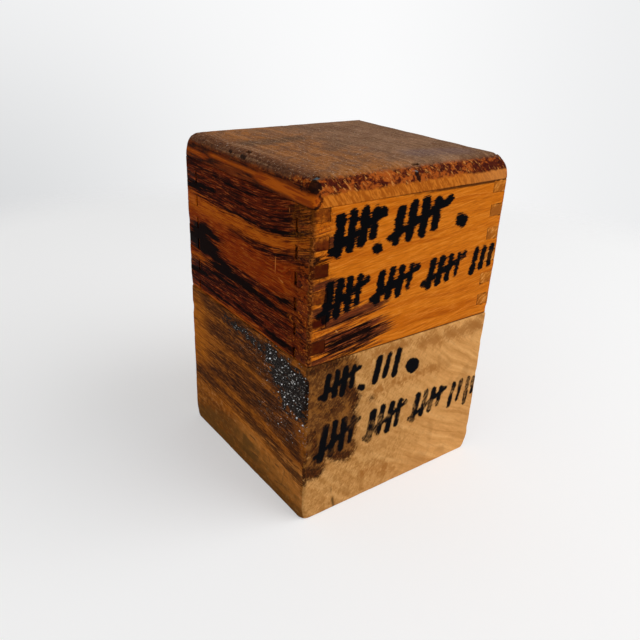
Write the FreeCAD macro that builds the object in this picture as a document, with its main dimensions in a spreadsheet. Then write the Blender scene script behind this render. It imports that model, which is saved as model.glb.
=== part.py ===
"""Antique wooden storage box: a solid block with a bored well, under a box-jointed lid hinged at the back.

Millimetres, +Z up. The origin is the middle of the underside. The front is at -Y, the hinges are at +Y
and the left side is at -X. The block's grain runs front to back, so its front face is end grain.
"""

import FreeCAD
import Part
import Sketcher

import math
import os

# Each driving size: its name in the sheet, its value, and what it measures.
SIZES = [
    ("box_width", 62.0, "outside, left to right"),
    ("box_depth", 61.0, "outside, front to back, without the hinges"),
    ("base_height", 46.0, "the block, from the table to the seam"),
    ("foot_round", 1.0, "bottom edges at the front and left"),
    ("worn_foot_round", 3.0, "bottom edges at the back and right, worn rounder"),
    ("arris", 0.6, "eased upright edges"),
    ("seam_chamfer", 0.4, "eased edges along the seams"),
    ("well_diameter", 44.0, "bored well in the block"),
    ("well_depth", 34.0, "well, from the seam to its flat floor"),
    ("well_mouth_chamfer", 0.8, "eased mouth of the well"),
    ("bit_point_radius", 1.6, "dimple that the boring bit's point left"),
    ("bit_point_depth", 1.8, "the same dimple, below the floor"),
    ("side_wall", 4.8, "thickness of the lid's left and right walls"),
    ("end_wall", 5.6, "thickness of the lid's front and back walls"),
    ("finger_height", 3.175, "one finger of the box joint"),
    ("finger_pairs", 6, "how many fingers each wall has at a corner"),
    ("socket_overcut", 0.9, "how much deeper the side walls' sockets are than the fingers in them"),
    ("top_thickness", 6.7, "top board"),
    ("top_round", 4.2, "rounded upper edge of the top board"),
    ("nail_plate", 1.1, "the plate that the lid's nails are cut from"),
    ("nail_width", 1.5, "nail, under its head"),
    ("nail_tip_width", 0.7, "nail, at its blunt point"),
    ("nail_head_width", 2.2, "nail head"),
    ("nail_head_height", 0.5, "nail head"),
    ("nail_length", 15.0, "head included"),
    ("nail_sink", 1.4, "how far the heads are set below the top"),
    ("hinge_length", 16.0, "one butt hinge, along its pin"),
    ("hinge_inset", 8.0, "from the side of the box to the hinge's end"),
    ("leaf_width", 9.5, "from the pin's centre to the leaf's free edge"),
    ("leaf_thickness", 0.9, "hinge plate"),
    ("leaf_corner_round", 1.0, "free corners of the leaf"),
    ("knuckle_radius", 1.7, "rolled knuckles, outside"),
    ("knuckle_gap", 0.15, "between one leaf's knuckles and the other leaf"),
    ("pin_radius", 0.8, "hinge pin"),
    ("pin_clearance", 0.05, "between the pin and the lid's knuckle"),
    ("pin_end", 0.3, "how far the pin stands out of the knuckles at each end"),
    ("pin_end_chamfer", 0.25, "dressed ends of the pin"),
    ("screw_radius", 0.85, "screw shank"),
    ("screw_land", 0.05, "straight end of a leaf's screw hole, under its countersink"),
    ("screw_length", 5.0, "head included"),
    ("screw_point", 1.2, "length of the screw's point"),
    ("screw_spacing", 8.6, "between the two screws of a leaf"),
    ("screw_drop", 5.6, "from the pin's centre to the screws"),
    ("slot_width", 0.5, "screwdriver slot"),
    ("slot_depth", 0.4, "screwdriver slot"),
]

LID_WALL_HEIGHT = "2 * Sizes.finger_pairs * Sizes.finger_height"
SEAM_HEIGHT = "Sizes.base_height"
LID_WALL_TOP = f"{SEAM_HEIGHT} + {LID_WALL_HEIGHT}"
BOX_TOP = f"{LID_WALL_TOP} + Sizes.top_thickness"
HALF_WIDTH = "Sizes.box_width / 2"
HALF_DEPTH = "Sizes.box_depth / 2"
HINGE_FROM_MIDDLE = f"({HALF_WIDTH} - Sizes.hinge_inset - Sizes.hinge_length / 2)"
SCREW_HEAD_DEPTH = "Sizes.leaf_thickness - Sizes.screw_land"
SCREW_HEAD_RADIUS = f"Sizes.screw_radius + {SCREW_HEAD_DEPTH}"
SCREW_IN_WOOD = "Sizes.screw_length - Sizes.leaf_thickness"
NAIL_IN_BOARD = "(Sizes.top_thickness - Sizes.nail_sink)"
NAIL_TAPER = "((Sizes.nail_width - Sizes.nail_tip_width) / (Sizes.nail_length - Sizes.nail_head_height))"
NAIL_WIDTH_AT_WALL = f"(Sizes.nail_width - {NAIL_TAPER} * ({NAIL_IN_BOARD} - Sizes.nail_head_height))"
NAIL_X = f"({HALF_WIDTH} - Sizes.side_wall / 2)"
NAIL_Y = f"({HALF_DEPTH} - Sizes.end_wall / 2)"
HALF_TURN = FreeCAD.Rotation(FreeCAD.Vector(0, 0, 1), 180)
UPSIDE_DOWN = FreeCAD.Rotation(FreeCAD.Vector(0, 1, 0), 180)
HEAD_TO_BACK = FreeCAD.Rotation(FreeCAD.Vector(1, 0, 0), -90)
COUNTERSINK_ANGLE = 90.0  # so a head is as deep as it widens
SLOT_TURN = 50.0  # degrees from one screw's slot to the next one's
TOLERANCE = 1e-4
SMALLEST_CUT = 1e-3

doc = FreeCAD.newDocument("StorageBox")


def write_sheet():
    sheet = doc.addObject("Spreadsheet::Sheet", "Sizes")
    for row, (name, value, meaning) in enumerate(SIZES, start=1):
        sheet.set(f"A{row}", meaning)
        sheet.set(f"B{row}", str(value))
        sheet.setAlias(f"B{row}", name)
    doc.recompute()
    return sheet


sizes = write_sheet()


# Small tools for sketches and features

def new_body(label):
    body = doc.addObject("PartDesign::Body", label)
    body.Label = label
    return body


def place(body, x, y, z, rotation=None):
    """Puts a body where three expressions say, turned first if a rotation is given."""
    if rotation:
        body.Placement = FreeCAD.Placement(FreeCAD.Vector(), rotation)
    for axis, expression in zip("xyz", (x, y, z)):
        body.setExpression(f".Placement.Base.{axis}", expression)


def new_sketch(body, plane, name, offset=None):
    """A sketch on one of the body's own planes, moved along the plane's normal by an expression."""
    sketch = body.newObject("Sketcher::SketchObject", name)
    support = [p for p in body.Origin.OriginFeatures if p.Role == plane][0]
    sketch.AttachmentSupport = (support, [""])
    sketch.MapMode = "FlatFace"
    if offset:
        sketch.setExpression("AttachmentOffset.Base.z", offset)
    return sketch


def bind(sketch, kind, first, expression, *more):
    """Adds one dimension and ties it to an expression."""
    value = float(sketch.evalExpression(expression))
    index = sketch.addConstraint(Sketcher.Constraint(kind, *first, *more, value))
    sketch.setExpression(f"Constraints[{index}]", expression)


def bind_point(sketch, line, end, x, y):
    bind(sketch, "DistanceX", (-1, 1), x, line, end)
    bind(sketch, "DistanceY", (-1, 1), y, line, end)


def polygon(sketch, corners):
    """A closed outline of straight lines through corners given as pairs of expressions."""
    points = [
        FreeCAD.Vector(float(sketch.evalExpression(x)), float(sketch.evalExpression(y)), 0)
        for x, y in corners
    ]
    start = sketch.GeometryCount
    count = len(points)
    for i in range(count):
        sketch.addGeometry(Part.LineSegment(points[i], points[(i + 1) % count]), False)
    for i in range(count):
        following = start + (i + 1) % count
        sketch.addConstraint(Sketcher.Constraint("Coincident", start + i, 2, following, 1))
    for i, (x, y) in enumerate(corners):
        bind_point(sketch, start + i, 1, x, y)


def rectangle(sketch, left, bottom, width, height):
    """A rectangle by its lower left corner and its size."""
    x, y, w, h = (float(sketch.evalExpression(e)) for e in (left, bottom, width, height))
    points = [FreeCAD.Vector(*p, 0) for p in ((x, y), (x + w, y), (x + w, y + h), (x, y + h))]
    start = sketch.GeometryCount
    for i in range(4):
        sketch.addGeometry(Part.LineSegment(points[i], points[(i + 1) % 4]), False)
    for i in range(4):
        following = start + (i + 1) % 4
        sketch.addConstraint(Sketcher.Constraint("Coincident", start + i, 2, following, 1))
        level = "Horizontal" if i % 2 == 0 else "Vertical"
        sketch.addConstraint(Sketcher.Constraint(level, start + i))
    bind_point(sketch, start, 1, left, bottom)
    bind(sketch, "DistanceX", (start, 1), width, start, 2)
    bind(sketch, "DistanceY", (start + 1, 1), height, start + 1, 2)


def circle(sketch, x, y, radius):
    centre = FreeCAD.Vector(float(sketch.evalExpression(x)), float(sketch.evalExpression(y)), 0)
    size = float(sketch.evalExpression(radius))
    index = sketch.addGeometry(Part.Circle(centre, FreeCAD.Vector(0, 0, 1), size), False)
    bind_point(sketch, index, 3, x, y)
    bind(sketch, "Radius", (index,), radius)


def finish_feature(body, feature):
    body.Tip = feature
    doc.recompute()
    return feature


def pad(body, sketch, length, both_ways=False):
    feature = body.newObject("PartDesign::Pad", f"{sketch.Name}_pad")
    feature.Profile = sketch
    feature.setExpression("Length", length)
    feature.SideType = "Symmetric" if both_ways else "One side"
    return finish_feature(body, feature)


def pocket(body, sketch, length=None, backwards=False, both_ways=False):
    """Cuts against the sketch's normal, or along it if backwards, right through if no length is given."""
    before = body.Shape.Volume
    feature = body.newObject("PartDesign::Pocket", f"{sketch.Name}_cut")
    feature.Profile = sketch
    feature.SideType = "Symmetric" if both_ways else "One side"
    if length:
        feature.setExpression("Length", length)
    else:
        feature.Type = "ThroughAll"
    feature.Reversed = backwards
    finish_feature(body, feature)
    require_cut(feature, before)
    return feature


def turned(body, kind, sketch):
    """A full turn of a sketch about its own upright axis: a Revolution or a Groove."""
    feature = body.newObject(f"PartDesign::{kind}", f"{sketch.Name}_turned")
    feature.Profile = sketch
    feature.ReferenceAxis = (sketch, ["V_Axis"])
    feature.Angle = 360.0
    return finish_feature(body, feature)


def edge_names(feature, test):
    """Names of the feature's edges whose bounding box passes the test."""
    return [
        f"Edge{i}" for i, edge in enumerate(feature.Shape.Edges, start=1) if test(edge.BoundBox)
    ]


def ease(body, kind, size, test):
    """Fillets or chamfers the edges of the body's last feature that pass the test."""
    last = body.Tip
    names = edge_names(last, test)
    require(names, f"{body.Label}: no edge to ease with {size}")
    feature = body.newObject(f"PartDesign::{kind}", f"{body.Label}_{size}")
    feature.Base = (last, names)
    feature.setExpression("Radius" if kind == "Fillet" else "Size", f"Sizes.{size}")
    return finish_feature(body, feature)


def require(condition, message):
    if not condition:
        raise RuntimeError(message)


def require_cut(feature, volume_before):
    """A cut that points away from the solid shows no error, so its volume is compared."""
    require(feature.Shape.Volume < volume_before - SMALLEST_CUT, f"{feature.Name} cut nothing")


def near(a, b):
    return abs(a - b) < TOLERANCE


def upright(box):
    return box.XLength < TOLERANCE and box.YLength < TOLERANCE and box.ZLength > TOLERANCE


def level_at(box, height):
    return near(box.ZMin, height) and near(box.ZMax, height)


def value(name):
    return float(sizes.get(name))


# The block

def make_base_block():
    body = new_body("base_block")
    outline = new_sketch(body, "XY_Plane", "block_outline")
    rectangle(outline, f"-{HALF_WIDTH}", f"-{HALF_DEPTH}", "Sizes.box_width", "Sizes.box_depth")
    pad(body, outline, "Sizes.base_height")
    ease_block(body)
    bore_well(body)
    drill_hinge_holes(body, f"{SEAM_HEIGHT} - Sizes.screw_drop", f"-{HALF_DEPTH}", backwards=True)
    return body


def ease_block(body):
    """Rounds the bottom edges, more at the back and right, and takes off the top and upright edges."""
    for plane, half, name in (("XZ_Plane", HALF_WIDTH, "side"), ("YZ_Plane", HALF_DEPTH, "end")):
        rounds = new_sketch(body, plane, f"block_{name}_foot_rounds")
        rounded_corner(rounds, half, -1, "Sizes.worn_foot_round")
        rounded_corner(rounds, f"-{half}", 1, "Sizes.foot_round")
        pocket(body, rounds, both_ways=True)
    ease(body, "Chamfer", "seam_chamfer", lambda b: level_at(b, value("base_height")))
    arrises = new_sketch(body, "XY_Plane", "block_arrises")
    for x, inwards_x in ((f"-{HALF_WIDTH}", "+"), (HALF_WIDTH, "-")):
        for y, inwards_y in ((f"-{HALF_DEPTH}", "+"), (HALF_DEPTH, "-")):
            along_x = (f"{x} {inwards_x} Sizes.arris", y)
            along_y = (x, f"{y} {inwards_y} Sizes.arris")
            polygon(arrises, [(x, y), along_x, along_y])
    pocket(body, arrises, "Sizes.base_height", backwards=True)


def rounded_corner(sketch, x, inwards, radius):
    """What rounding takes off a corner at (x, 0): two straight sides and the arc across them."""
    corner_x, size = (float(sketch.evalExpression(e)) for e in (x, radius))
    foot = FreeCAD.Vector(corner_x + inwards * size, 0, 0)
    corner = FreeCAD.Vector(corner_x, 0, 0)
    side = FreeCAD.Vector(corner_x, size, 0)
    centre = FreeCAD.Vector(foot.x, size, 0)
    first_angle = math.pi if inwards > 0 else 1.5 * math.pi
    arc = Part.ArcOfCircle(
        Part.Circle(centre, FreeCAD.Vector(0, 0, 1), size), first_angle, first_angle + math.pi / 2
    )
    first = sketch.addGeometry(Part.LineSegment(foot, corner), False)
    second = sketch.addGeometry(Part.LineSegment(corner, side), False)
    across = sketch.addGeometry(arc, False)
    arc_at_side, arc_at_foot = (1, 2) if inwards > 0 else (2, 1)
    sketch.addConstraint(Sketcher.Constraint("Coincident", first, 2, second, 1))
    sketch.addConstraint(Sketcher.Constraint("Coincident", second, 2, across, arc_at_side))
    sketch.addConstraint(Sketcher.Constraint("Coincident", first, 1, across, arc_at_foot))
    sign = "+" if inwards > 0 else "-"
    bind_point(sketch, first, 1, f"{x} {sign} {radius}", "0")
    bind_point(sketch, first, 2, x, "0")
    bind_point(sketch, second, 2, x, radius)
    bind(sketch, "Radius", (across,), radius)


def bore_well(body):
    """One boring bit's cut: an eased mouth, a straight wall, a flat floor and the point's dimple."""
    radius = "Sizes.well_diameter / 2"
    floor = "Sizes.base_height - Sizes.well_depth"
    mouth = "Sizes.well_mouth_chamfer"
    profile = new_sketch(body, "XZ_Plane", "well_profile")
    polygon(
        profile,
        [
            ("0", "Sizes.base_height"),
            (f"{radius} + {mouth}", "Sizes.base_height"),
            (radius, f"Sizes.base_height - {mouth}"),
            (radius, floor),
            ("Sizes.bit_point_radius", floor),
            ("0", f"{floor} - Sizes.bit_point_depth"),
        ],
    )
    before = body.Shape.Volume
    turned(body, "Groove", profile)
    require_cut(body.Tip, before)


def drill_hinge_holes(body, height, face_offset, backwards):
    """Pilot holes for both hinges' screws, in a back face that lies on the offset XZ plane."""
    holes = new_sketch(body, "XZ_Plane", f"{body.Label}_screw_holes", face_offset)
    for hinge_side in ("-", ""):
        for screw_side in ("-", "+"):
            x = f"{hinge_side}{HINGE_FROM_MIDDLE} {screw_side} Sizes.screw_spacing / 2"
            circle(holes, x, height, "Sizes.screw_radius")
    pocket(body, holes, SCREW_IN_WOOD, backwards)


# The lid's walls, each modelled with its outer face at zero and its foot on the seam

def cut_sockets(body, plane, name, inner_edge, reach, first_height, backwards):
    """A column of finger sockets at both ends of a wall: one pair is cut and then patterned upwards."""
    pair = new_sketch(body, plane, name)
    rectangle(pair, inner_edge, first_height, reach, "Sizes.finger_height")
    rectangle(pair, f"-({inner_edge}) - ({reach})", first_height, reach, "Sizes.finger_height")
    cut = pocket(body, pair, backwards=backwards)
    column = body.newObject("PartDesign::LinearPattern", f"{name}_column")
    column.Originals = [cut]
    column.Direction = ([p for p in body.Origin.OriginFeatures if p.Role == "Z_Axis"][0], [""])
    column.setExpression("Length", "2 * Sizes.finger_height * (Sizes.finger_pairs - 1)")
    column.setExpression("Occurrences", "Sizes.finger_pairs")
    finish_feature(body, column)
    require_cut(column, cut.Shape.Volume)


def nail_outline(sketch, centre, top, widths_and_depths):
    """The nail's outline about an upright line, from pairs of a half width and a depth below the top."""
    right = [(f"{centre} + {half}", f"{top} - ({depth})") for half, depth in widths_and_depths]
    left = [(f"{centre} - {half}", f"{top} - ({depth})") for half, depth in reversed(widths_and_depths)]
    polygon(sketch, right + left)


def cut_nail_hole(body, name, along, x, y, top, widths_and_depths):
    """A hole that fits a cut nail: its outline lies along X or along Y and its plate across that."""
    if along == "x":
        sketch = new_sketch(body, "XZ_Plane", f"{body.Label}_{name}", f"-({y})")
    else:
        sketch = new_sketch(body, "YZ_Plane", f"{body.Label}_{name}", x)
    nail_outline(sketch, x if along == "x" else y, top, widths_and_depths)
    pocket(body, sketch, "Sizes.nail_plate", both_ways=True)


def cut_wall_nail_holes(body, nails):
    in_wall = [
        (f"{NAIL_WIDTH_AT_WALL} / 2", "0"),
        ("Sizes.nail_tip_width / 2", f"Sizes.nail_length - {NAIL_IN_BOARD}"),
    ]
    for name, along, x, y in nails:
        cut_nail_hole(body, name, along, x, y, LID_WALL_HEIGHT, in_wall)


def make_end_wall(label):
    """The front or back wall. It has the bottom finger of each corner, and runs the box's full width."""
    body = new_body(label)
    blank = new_sketch(body, "XY_Plane", f"{label}_blank")
    rectangle(blank, f"-{HALF_WIDTH}", "0", "Sizes.box_width", "Sizes.end_wall")
    pad(body, blank, LID_WALL_HEIGHT)
    ease(body, "Chamfer", "arris", lambda b: upright(b) and near(b.YMin, 0))
    inner_face = value("end_wall")
    ease(body, "Chamfer", "seam_chamfer", lambda b: level_at(b, 0) and not near(b.YMin, inner_face))
    cut_sockets(
        body, "XZ_Plane", f"{label}_sockets",
        f"{HALF_WIDTH} - Sizes.side_wall", "Sizes.side_wall + Sizes.arris",
        "Sizes.finger_height", backwards=False,
    )
    middle = "Sizes.end_wall / 2"
    cut_wall_nail_holes(
        body,
        [
            ("middle_nail", "x", "0", middle),
            ("left_nail", "x", f"-{NAIL_X}", middle),
            ("right_nail", "x", NAIL_X, middle),
        ],
    )
    return body


def make_side_wall(label):
    """The left or right wall. It has the top finger of each corner, in sockets cut a little too deep."""
    body = new_body(label)
    blank = new_sketch(body, "XY_Plane", f"{label}_blank")
    rectangle(blank, "0", f"-{HALF_DEPTH}", "Sizes.side_wall", "Sizes.box_depth")
    pad(body, blank, LID_WALL_HEIGHT)
    ease(body, "Chamfer", "arris", lambda b: upright(b) and near(b.XMin, 0))
    ease(body, "Chamfer", "seam_chamfer", lambda b: level_at(b, 0) and near(b.XMax, 0))
    cut_sockets(
        body, "YZ_Plane", f"{label}_sockets",
        f"{HALF_DEPTH} - Sizes.end_wall - Sizes.socket_overcut",
        "Sizes.end_wall + Sizes.socket_overcut + Sizes.arris",
        "0", backwards=True,
    )
    middle = "Sizes.side_wall / 2"
    cut_wall_nail_holes(
        body,
        [
            ("middle_nail", "y", middle, "0"),
            ("front_nail", "x", middle, f"-{NAIL_Y}"),
            ("back_nail", "x", middle, NAIL_Y),
        ],
    )
    return body


def make_lid_walls():
    front = make_end_wall("lid_front_wall")
    place(front, "0", f"-{HALF_DEPTH}", SEAM_HEIGHT)
    back = make_end_wall("lid_back_wall")
    drill_hinge_holes(back, "Sizes.screw_drop", "0", backwards=False)
    place(back, "0", HALF_DEPTH, SEAM_HEIGHT, HALF_TURN)
    left = make_side_wall("lid_left_wall")
    place(left, f"-{HALF_WIDTH}", "0", SEAM_HEIGHT)
    right = make_side_wall("lid_right_wall")
    place(right, HALF_WIDTH, "0", SEAM_HEIGHT, HALF_TURN)
    return [front, back, left, right]


# The top board and its nails

def nails():
    """Each nail's name, direction and plan position: over the middle of each wall and each corner."""
    return [
        ("front", "x", "0", f"-{NAIL_Y}"),
        ("back", "x", "0", NAIL_Y),
        ("left", "y", f"-{NAIL_X}", "0"),
        ("right", "y", NAIL_X, "0"),
        ("front_left", "x", f"-{NAIL_X}", f"-{NAIL_Y}"),
        ("front_right", "x", NAIL_X, f"-{NAIL_Y}"),
        ("back_left", "x", f"-{NAIL_X}", NAIL_Y),
        ("back_right", "x", NAIL_X, NAIL_Y),
    ]


def make_top_board():
    body = new_body("lid_top_board")
    outline = new_sketch(body, "XY_Plane", "top_board_outline")
    rectangle(outline, f"-{HALF_WIDTH}", f"-{HALF_DEPTH}", "Sizes.box_width", "Sizes.box_depth")
    pad(body, outline, "Sizes.top_thickness")
    ease(body, "Fillet", "top_round", lambda b: level_at(b, value("top_thickness")))
    ease(body, "Chamfer", "seam_chamfer", lambda b: level_at(b, 0))
    head_foot = "Sizes.nail_sink + Sizes.nail_head_height"
    in_board = [
        ("Sizes.nail_head_width / 2", "0"),
        ("Sizes.nail_head_width / 2", head_foot),
        ("Sizes.nail_width / 2", head_foot),
        (f"{NAIL_WIDTH_AT_WALL} / 2", "Sizes.top_thickness"),
    ]
    for name, along, x, y in nails():
        cut_nail_hole(body, f"{name}_nail", along, x, y, "Sizes.top_thickness", in_board)
    place(body, "0", "0", LID_WALL_TOP)
    return body


def make_nail(name, along, x, y):
    """A nail sheared from plate, with a head at its top and a taper down to a blunt point."""
    body = new_body(f"nail_{name}")
    outline = new_sketch(body, "XZ_Plane" if along == "x" else "YZ_Plane", f"nail_{name}_outline")
    nail_outline(
        outline, "0", "0",
        [
            ("Sizes.nail_head_width / 2", "0"),
            ("Sizes.nail_head_width / 2", "Sizes.nail_head_height"),
            ("Sizes.nail_width / 2", "Sizes.nail_head_height"),
            ("Sizes.nail_tip_width / 2", "Sizes.nail_length"),
        ],
    )
    pad(body, outline, "Sizes.nail_plate", both_ways=True)
    place(body, x, y, f"{BOX_TOP} - Sizes.nail_sink")
    return body


# The hinges, each modelled with its pin's centre at zero and the leaf hanging down

def make_leaf(label, bore, own_knuckles):
    """A leaf rolled round the pin: own_knuckles says whether it keeps the outer two or the middle one."""
    body = new_body(label)
    plate = new_sketch(body, "YZ_Plane", f"{label}_plate")
    low = "-Sizes.leaf_width"
    rectangle(plate, "-Sizes.knuckle_radius", low, "Sizes.leaf_thickness", "Sizes.leaf_width")
    pad(body, plate, "Sizes.hinge_length", both_ways=True)
    free_edge = -value("leaf_width")
    ease(body, "Fillet", "leaf_corner_round", lambda b: near(b.ZMax, free_edge) and b.XLength < TOLERANCE)
    roll = new_sketch(body, "YZ_Plane", f"{label}_roll")
    circle(roll, "0", "0", "Sizes.knuckle_radius")
    pad(body, roll, "Sizes.hinge_length", both_ways=True)
    hole = new_sketch(body, "YZ_Plane", f"{label}_pin_hole")
    circle(hole, "0", "0", bore)
    pocket(body, hole, both_ways=True)
    cut_knuckle_gaps(body, label, own_knuckles)
    countersink_leaf(body, label)
    return body


def cut_knuckle_gaps(body, label, own_knuckles):
    """Clears the room of the other leaf's knuckles, three equal ones to a hinge."""
    third = "Sizes.hinge_length / 3"
    gap = "Sizes.knuckle_gap"
    low = f"-Sizes.knuckle_radius - {gap}"
    tall = f"2 * (Sizes.knuckle_radius + {gap})"
    gaps = new_sketch(body, "XZ_Plane", f"{label}_gaps")
    if own_knuckles == "outer":
        rectangle(gaps, f"-({third} + {gap}) / 2", low, f"{third} + {gap}", tall)
    else:
        start = f"({third} - {gap}) / 2"
        rectangle(gaps, start, low, "Sizes.hinge_length / 2", tall)
        rectangle(gaps, f"-{start} - Sizes.hinge_length / 2", low, "Sizes.hinge_length / 2", tall)
    pocket(body, gaps, both_ways=True)


def countersink_leaf(body, label):
    """Two screw holes, with countersinks that the screw heads fill, in the leaf's outer face."""
    outer_face = "Sizes.knuckle_radius - Sizes.leaf_thickness"
    centres = new_sketch(body, "XZ_Plane", f"{label}_screw_holes", outer_face)
    for side in ("-", ""):
        circle(centres, f"{side}Sizes.screw_spacing / 2", "-Sizes.screw_drop", "Sizes.screw_radius")
    holes = body.newObject("PartDesign::Hole", f"{label}_countersinks")
    holes.Profile = centres
    doc.recompute()
    holes.DepthType = "ThroughAll"
    holes.setExpression("Diameter", "2 * Sizes.screw_radius")
    holes.HoleCutType = "Countersink"
    holes.HoleCutCountersinkAngle = COUNTERSINK_ANGLE
    holes.setExpression("HoleCutDiameter", f"2 * ({SCREW_HEAD_RADIUS})")
    holes.Reversed = True
    before = body.Shape.Volume
    finish_feature(body, holes)
    require_cut(holes, before)


def make_pin(label):
    body = new_body(label)
    section = new_sketch(body, "YZ_Plane", f"{label}_section")
    circle(section, "0", "0", "Sizes.pin_radius")
    pad(body, section, "Sizes.hinge_length + 2 * Sizes.pin_end", both_ways=True)
    half = value("hinge_length") / 2 + value("pin_end")
    ease(body, "Chamfer", "pin_end_chamfer", lambda b: near(abs(b.XMin), half) and b.XLength < TOLERANCE)
    return body


def make_screw(label):
    """A slotted countersunk screw that points down, with its head's flat at zero."""
    body = new_body(label)
    profile = new_sketch(body, "XZ_Plane", f"{label}_profile")
    polygon(
        profile,
        [
            ("0", "0"),
            (SCREW_HEAD_RADIUS, "0"),
            ("Sizes.screw_radius", f"-({SCREW_HEAD_DEPTH})"),
            ("Sizes.screw_radius", "Sizes.screw_point - Sizes.screw_length"),
            ("0", "-Sizes.screw_length"),
        ],
    )
    turned(body, "Revolution", profile)
    slot = new_sketch(body, "XY_Plane", f"{label}_slot")
    slot_length = f"2 * ({SCREW_HEAD_RADIUS})"
    rectangle(slot, f"-({SCREW_HEAD_RADIUS})", "-Sizes.slot_width / 2", slot_length, "Sizes.slot_width")
    pocket(body, slot, "Sizes.slot_depth")
    return body


def make_hinge(side, sign, first_slot_angle):
    """One butt hinge: a leaf on the block, a leaf on the lid, the pin and four screws."""
    middle = f"{sign}{HINGE_FROM_MIDDLE}"
    pin_line = (f"{HALF_DEPTH} + Sizes.knuckle_radius", SEAM_HEIGHT)
    base_leaf = make_leaf(f"{side}_hinge_base_leaf", "Sizes.pin_radius", "outer")
    place(base_leaf, middle, *pin_line)
    lid_leaf = make_leaf(f"{side}_hinge_lid_leaf", "Sizes.pin_radius + Sizes.pin_clearance", "middle")
    place(lid_leaf, middle, *pin_line, UPSIDE_DOWN)
    pin = make_pin(f"{side}_hinge_pin")
    place(pin, middle, *pin_line)
    bodies = [base_leaf, lid_leaf, pin]
    slot_angle = first_slot_angle
    for leaf, rise in (("base", "-"), ("lid", "+")):
        for number, screw_side in ((1, "-"), (2, "+")):
            screw = make_screw(f"{side}_hinge_{leaf}_screw_{number}")
            place(
                screw,
                f"{middle} {screw_side} Sizes.screw_spacing / 2",
                f"{HALF_DEPTH} + Sizes.leaf_thickness",
                f"{SEAM_HEIGHT} {rise} Sizes.screw_drop",
                HEAD_TO_BACK * FreeCAD.Rotation(FreeCAD.Vector(0, 0, 1), slot_angle),
            )
            bodies.append(screw)
            slot_angle += SLOT_TURN
    return bodies


def make_box():
    bodies = [make_base_block()]
    bodies += make_lid_walls()
    bodies.append(make_top_board())
    bodies += [make_nail(*nail) for nail in nails()]
    bodies += make_hinge("left", "-", 0)
    bodies += make_hinge("right", "", 4 * SLOT_TURN)
    doc.recompute()
    return bodies


def check_document(bodies):
    for item in doc.Objects:
        failed = [state for state in item.State if state in ("Invalid", "Error")]
        require(not failed, f"{item.Label} is {failed}")
    for body in bodies:
        shape = body.Shape
        require(not shape.isNull() and shape.isValid(), f"{body.Label} has no valid shape")
        require(len(shape.Solids) == 1, f"{body.Label} is {len(shape.Solids)} solids")


def export(bodies):
    os.makedirs("parts", exist_ok=True)
    for body in bodies:
        body.Shape.exportStep(os.path.join("parts", f"{body.Label}.step"))
        box = body.Shape.BoundBox
        print(
            f"{body.Label:28s} x {box.XMin:7.2f} {box.XMax:7.2f}  y {box.YMin:7.2f} {box.YMax:7.2f}"
            f"  z {box.ZMin:7.2f} {box.ZMax:7.2f}  volume {body.Shape.Volume:10.2f}"
        )


box_bodies = make_box()
check_document(box_bodies)
export(box_bodies)
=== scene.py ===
"""Antique storage box: the worn wood, brass and paint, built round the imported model.

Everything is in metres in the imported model's axes: the front is at -Y, the hinges are at +Y and the left
side is at -X. Patterns read the surface's own place in millimetres. Marks on the front are placed by
u, millimetres from the left, and v, millimetres down from the top. On the left side u runs from the back.
"""

import math

import bmesh
import bpy
import numpy
from mathutils import Color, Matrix, Quaternion, Vector, noise


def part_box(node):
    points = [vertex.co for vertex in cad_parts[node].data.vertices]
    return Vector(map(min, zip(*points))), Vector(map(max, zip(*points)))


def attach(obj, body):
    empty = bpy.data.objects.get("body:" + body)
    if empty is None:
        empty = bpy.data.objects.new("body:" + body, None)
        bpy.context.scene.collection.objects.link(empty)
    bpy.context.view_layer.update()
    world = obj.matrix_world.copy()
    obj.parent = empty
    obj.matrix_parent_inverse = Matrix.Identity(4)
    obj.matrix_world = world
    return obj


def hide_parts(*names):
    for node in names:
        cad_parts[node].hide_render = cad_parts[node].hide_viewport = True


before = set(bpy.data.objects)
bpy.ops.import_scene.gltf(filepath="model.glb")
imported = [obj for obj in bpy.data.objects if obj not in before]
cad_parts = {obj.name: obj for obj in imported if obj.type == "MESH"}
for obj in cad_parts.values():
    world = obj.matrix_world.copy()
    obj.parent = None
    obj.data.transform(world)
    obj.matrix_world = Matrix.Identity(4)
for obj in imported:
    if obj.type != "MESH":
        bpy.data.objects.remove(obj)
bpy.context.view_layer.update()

bl_info = {
    "name": "Antique Storage Box",
    "version": (1, 0, 0),
    "blender": (4, 5, 0),
    "location": "View3D > Sidebar > Storage Box",
    "description": "Makes a worn wooden storage box with a box-jointed lid on two butt hinges",
    "category": "Object",
}

MM = 0.001
BLOCK_LOW, BLOCK_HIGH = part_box("base_block")
FRONT_LOW, FRONT_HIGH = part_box("lid_front_wall")
LEFT_LOW, LEFT_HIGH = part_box("lid_left_wall")
BOARD_LOW, BOARD_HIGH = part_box("lid_top_board")
HALF_WIDTH_MM = (BLOCK_HIGH.x - BLOCK_LOW.x) / MM / 2
HALF_DEPTH_MM = (BLOCK_HIGH.y - BLOCK_LOW.y) / MM / 2
SEAM_MM = BLOCK_HIGH.z / MM
TOP_MM = BOARD_HIGH.z / MM
BOARD_FOOT_MM = BOARD_LOW.z / MM
SIDE_WALL_MM = (LEFT_HIGH.x - LEFT_LOW.x) / MM
END_WALL_MM = (FRONT_HIGH.y - FRONT_LOW.y) / MM
FINGER_COUNT = 12
FINGER_MM = (BOARD_FOOT_MM - SEAM_MM) / FINGER_COUNT
SOCKET_OVERCUT_MM = 0.9


def tone(red, green, blue):
    """A colour given in 0 to 255, as the linear values that Blender's sockets take."""
    return tuple(
        c / 12.92 if c <= 0.04045 else ((c + 0.055) / 1.055) ** 2.4
        for c in (red / 255, green / 255, blue / 255)
    )


# Settings that a user would change

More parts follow.
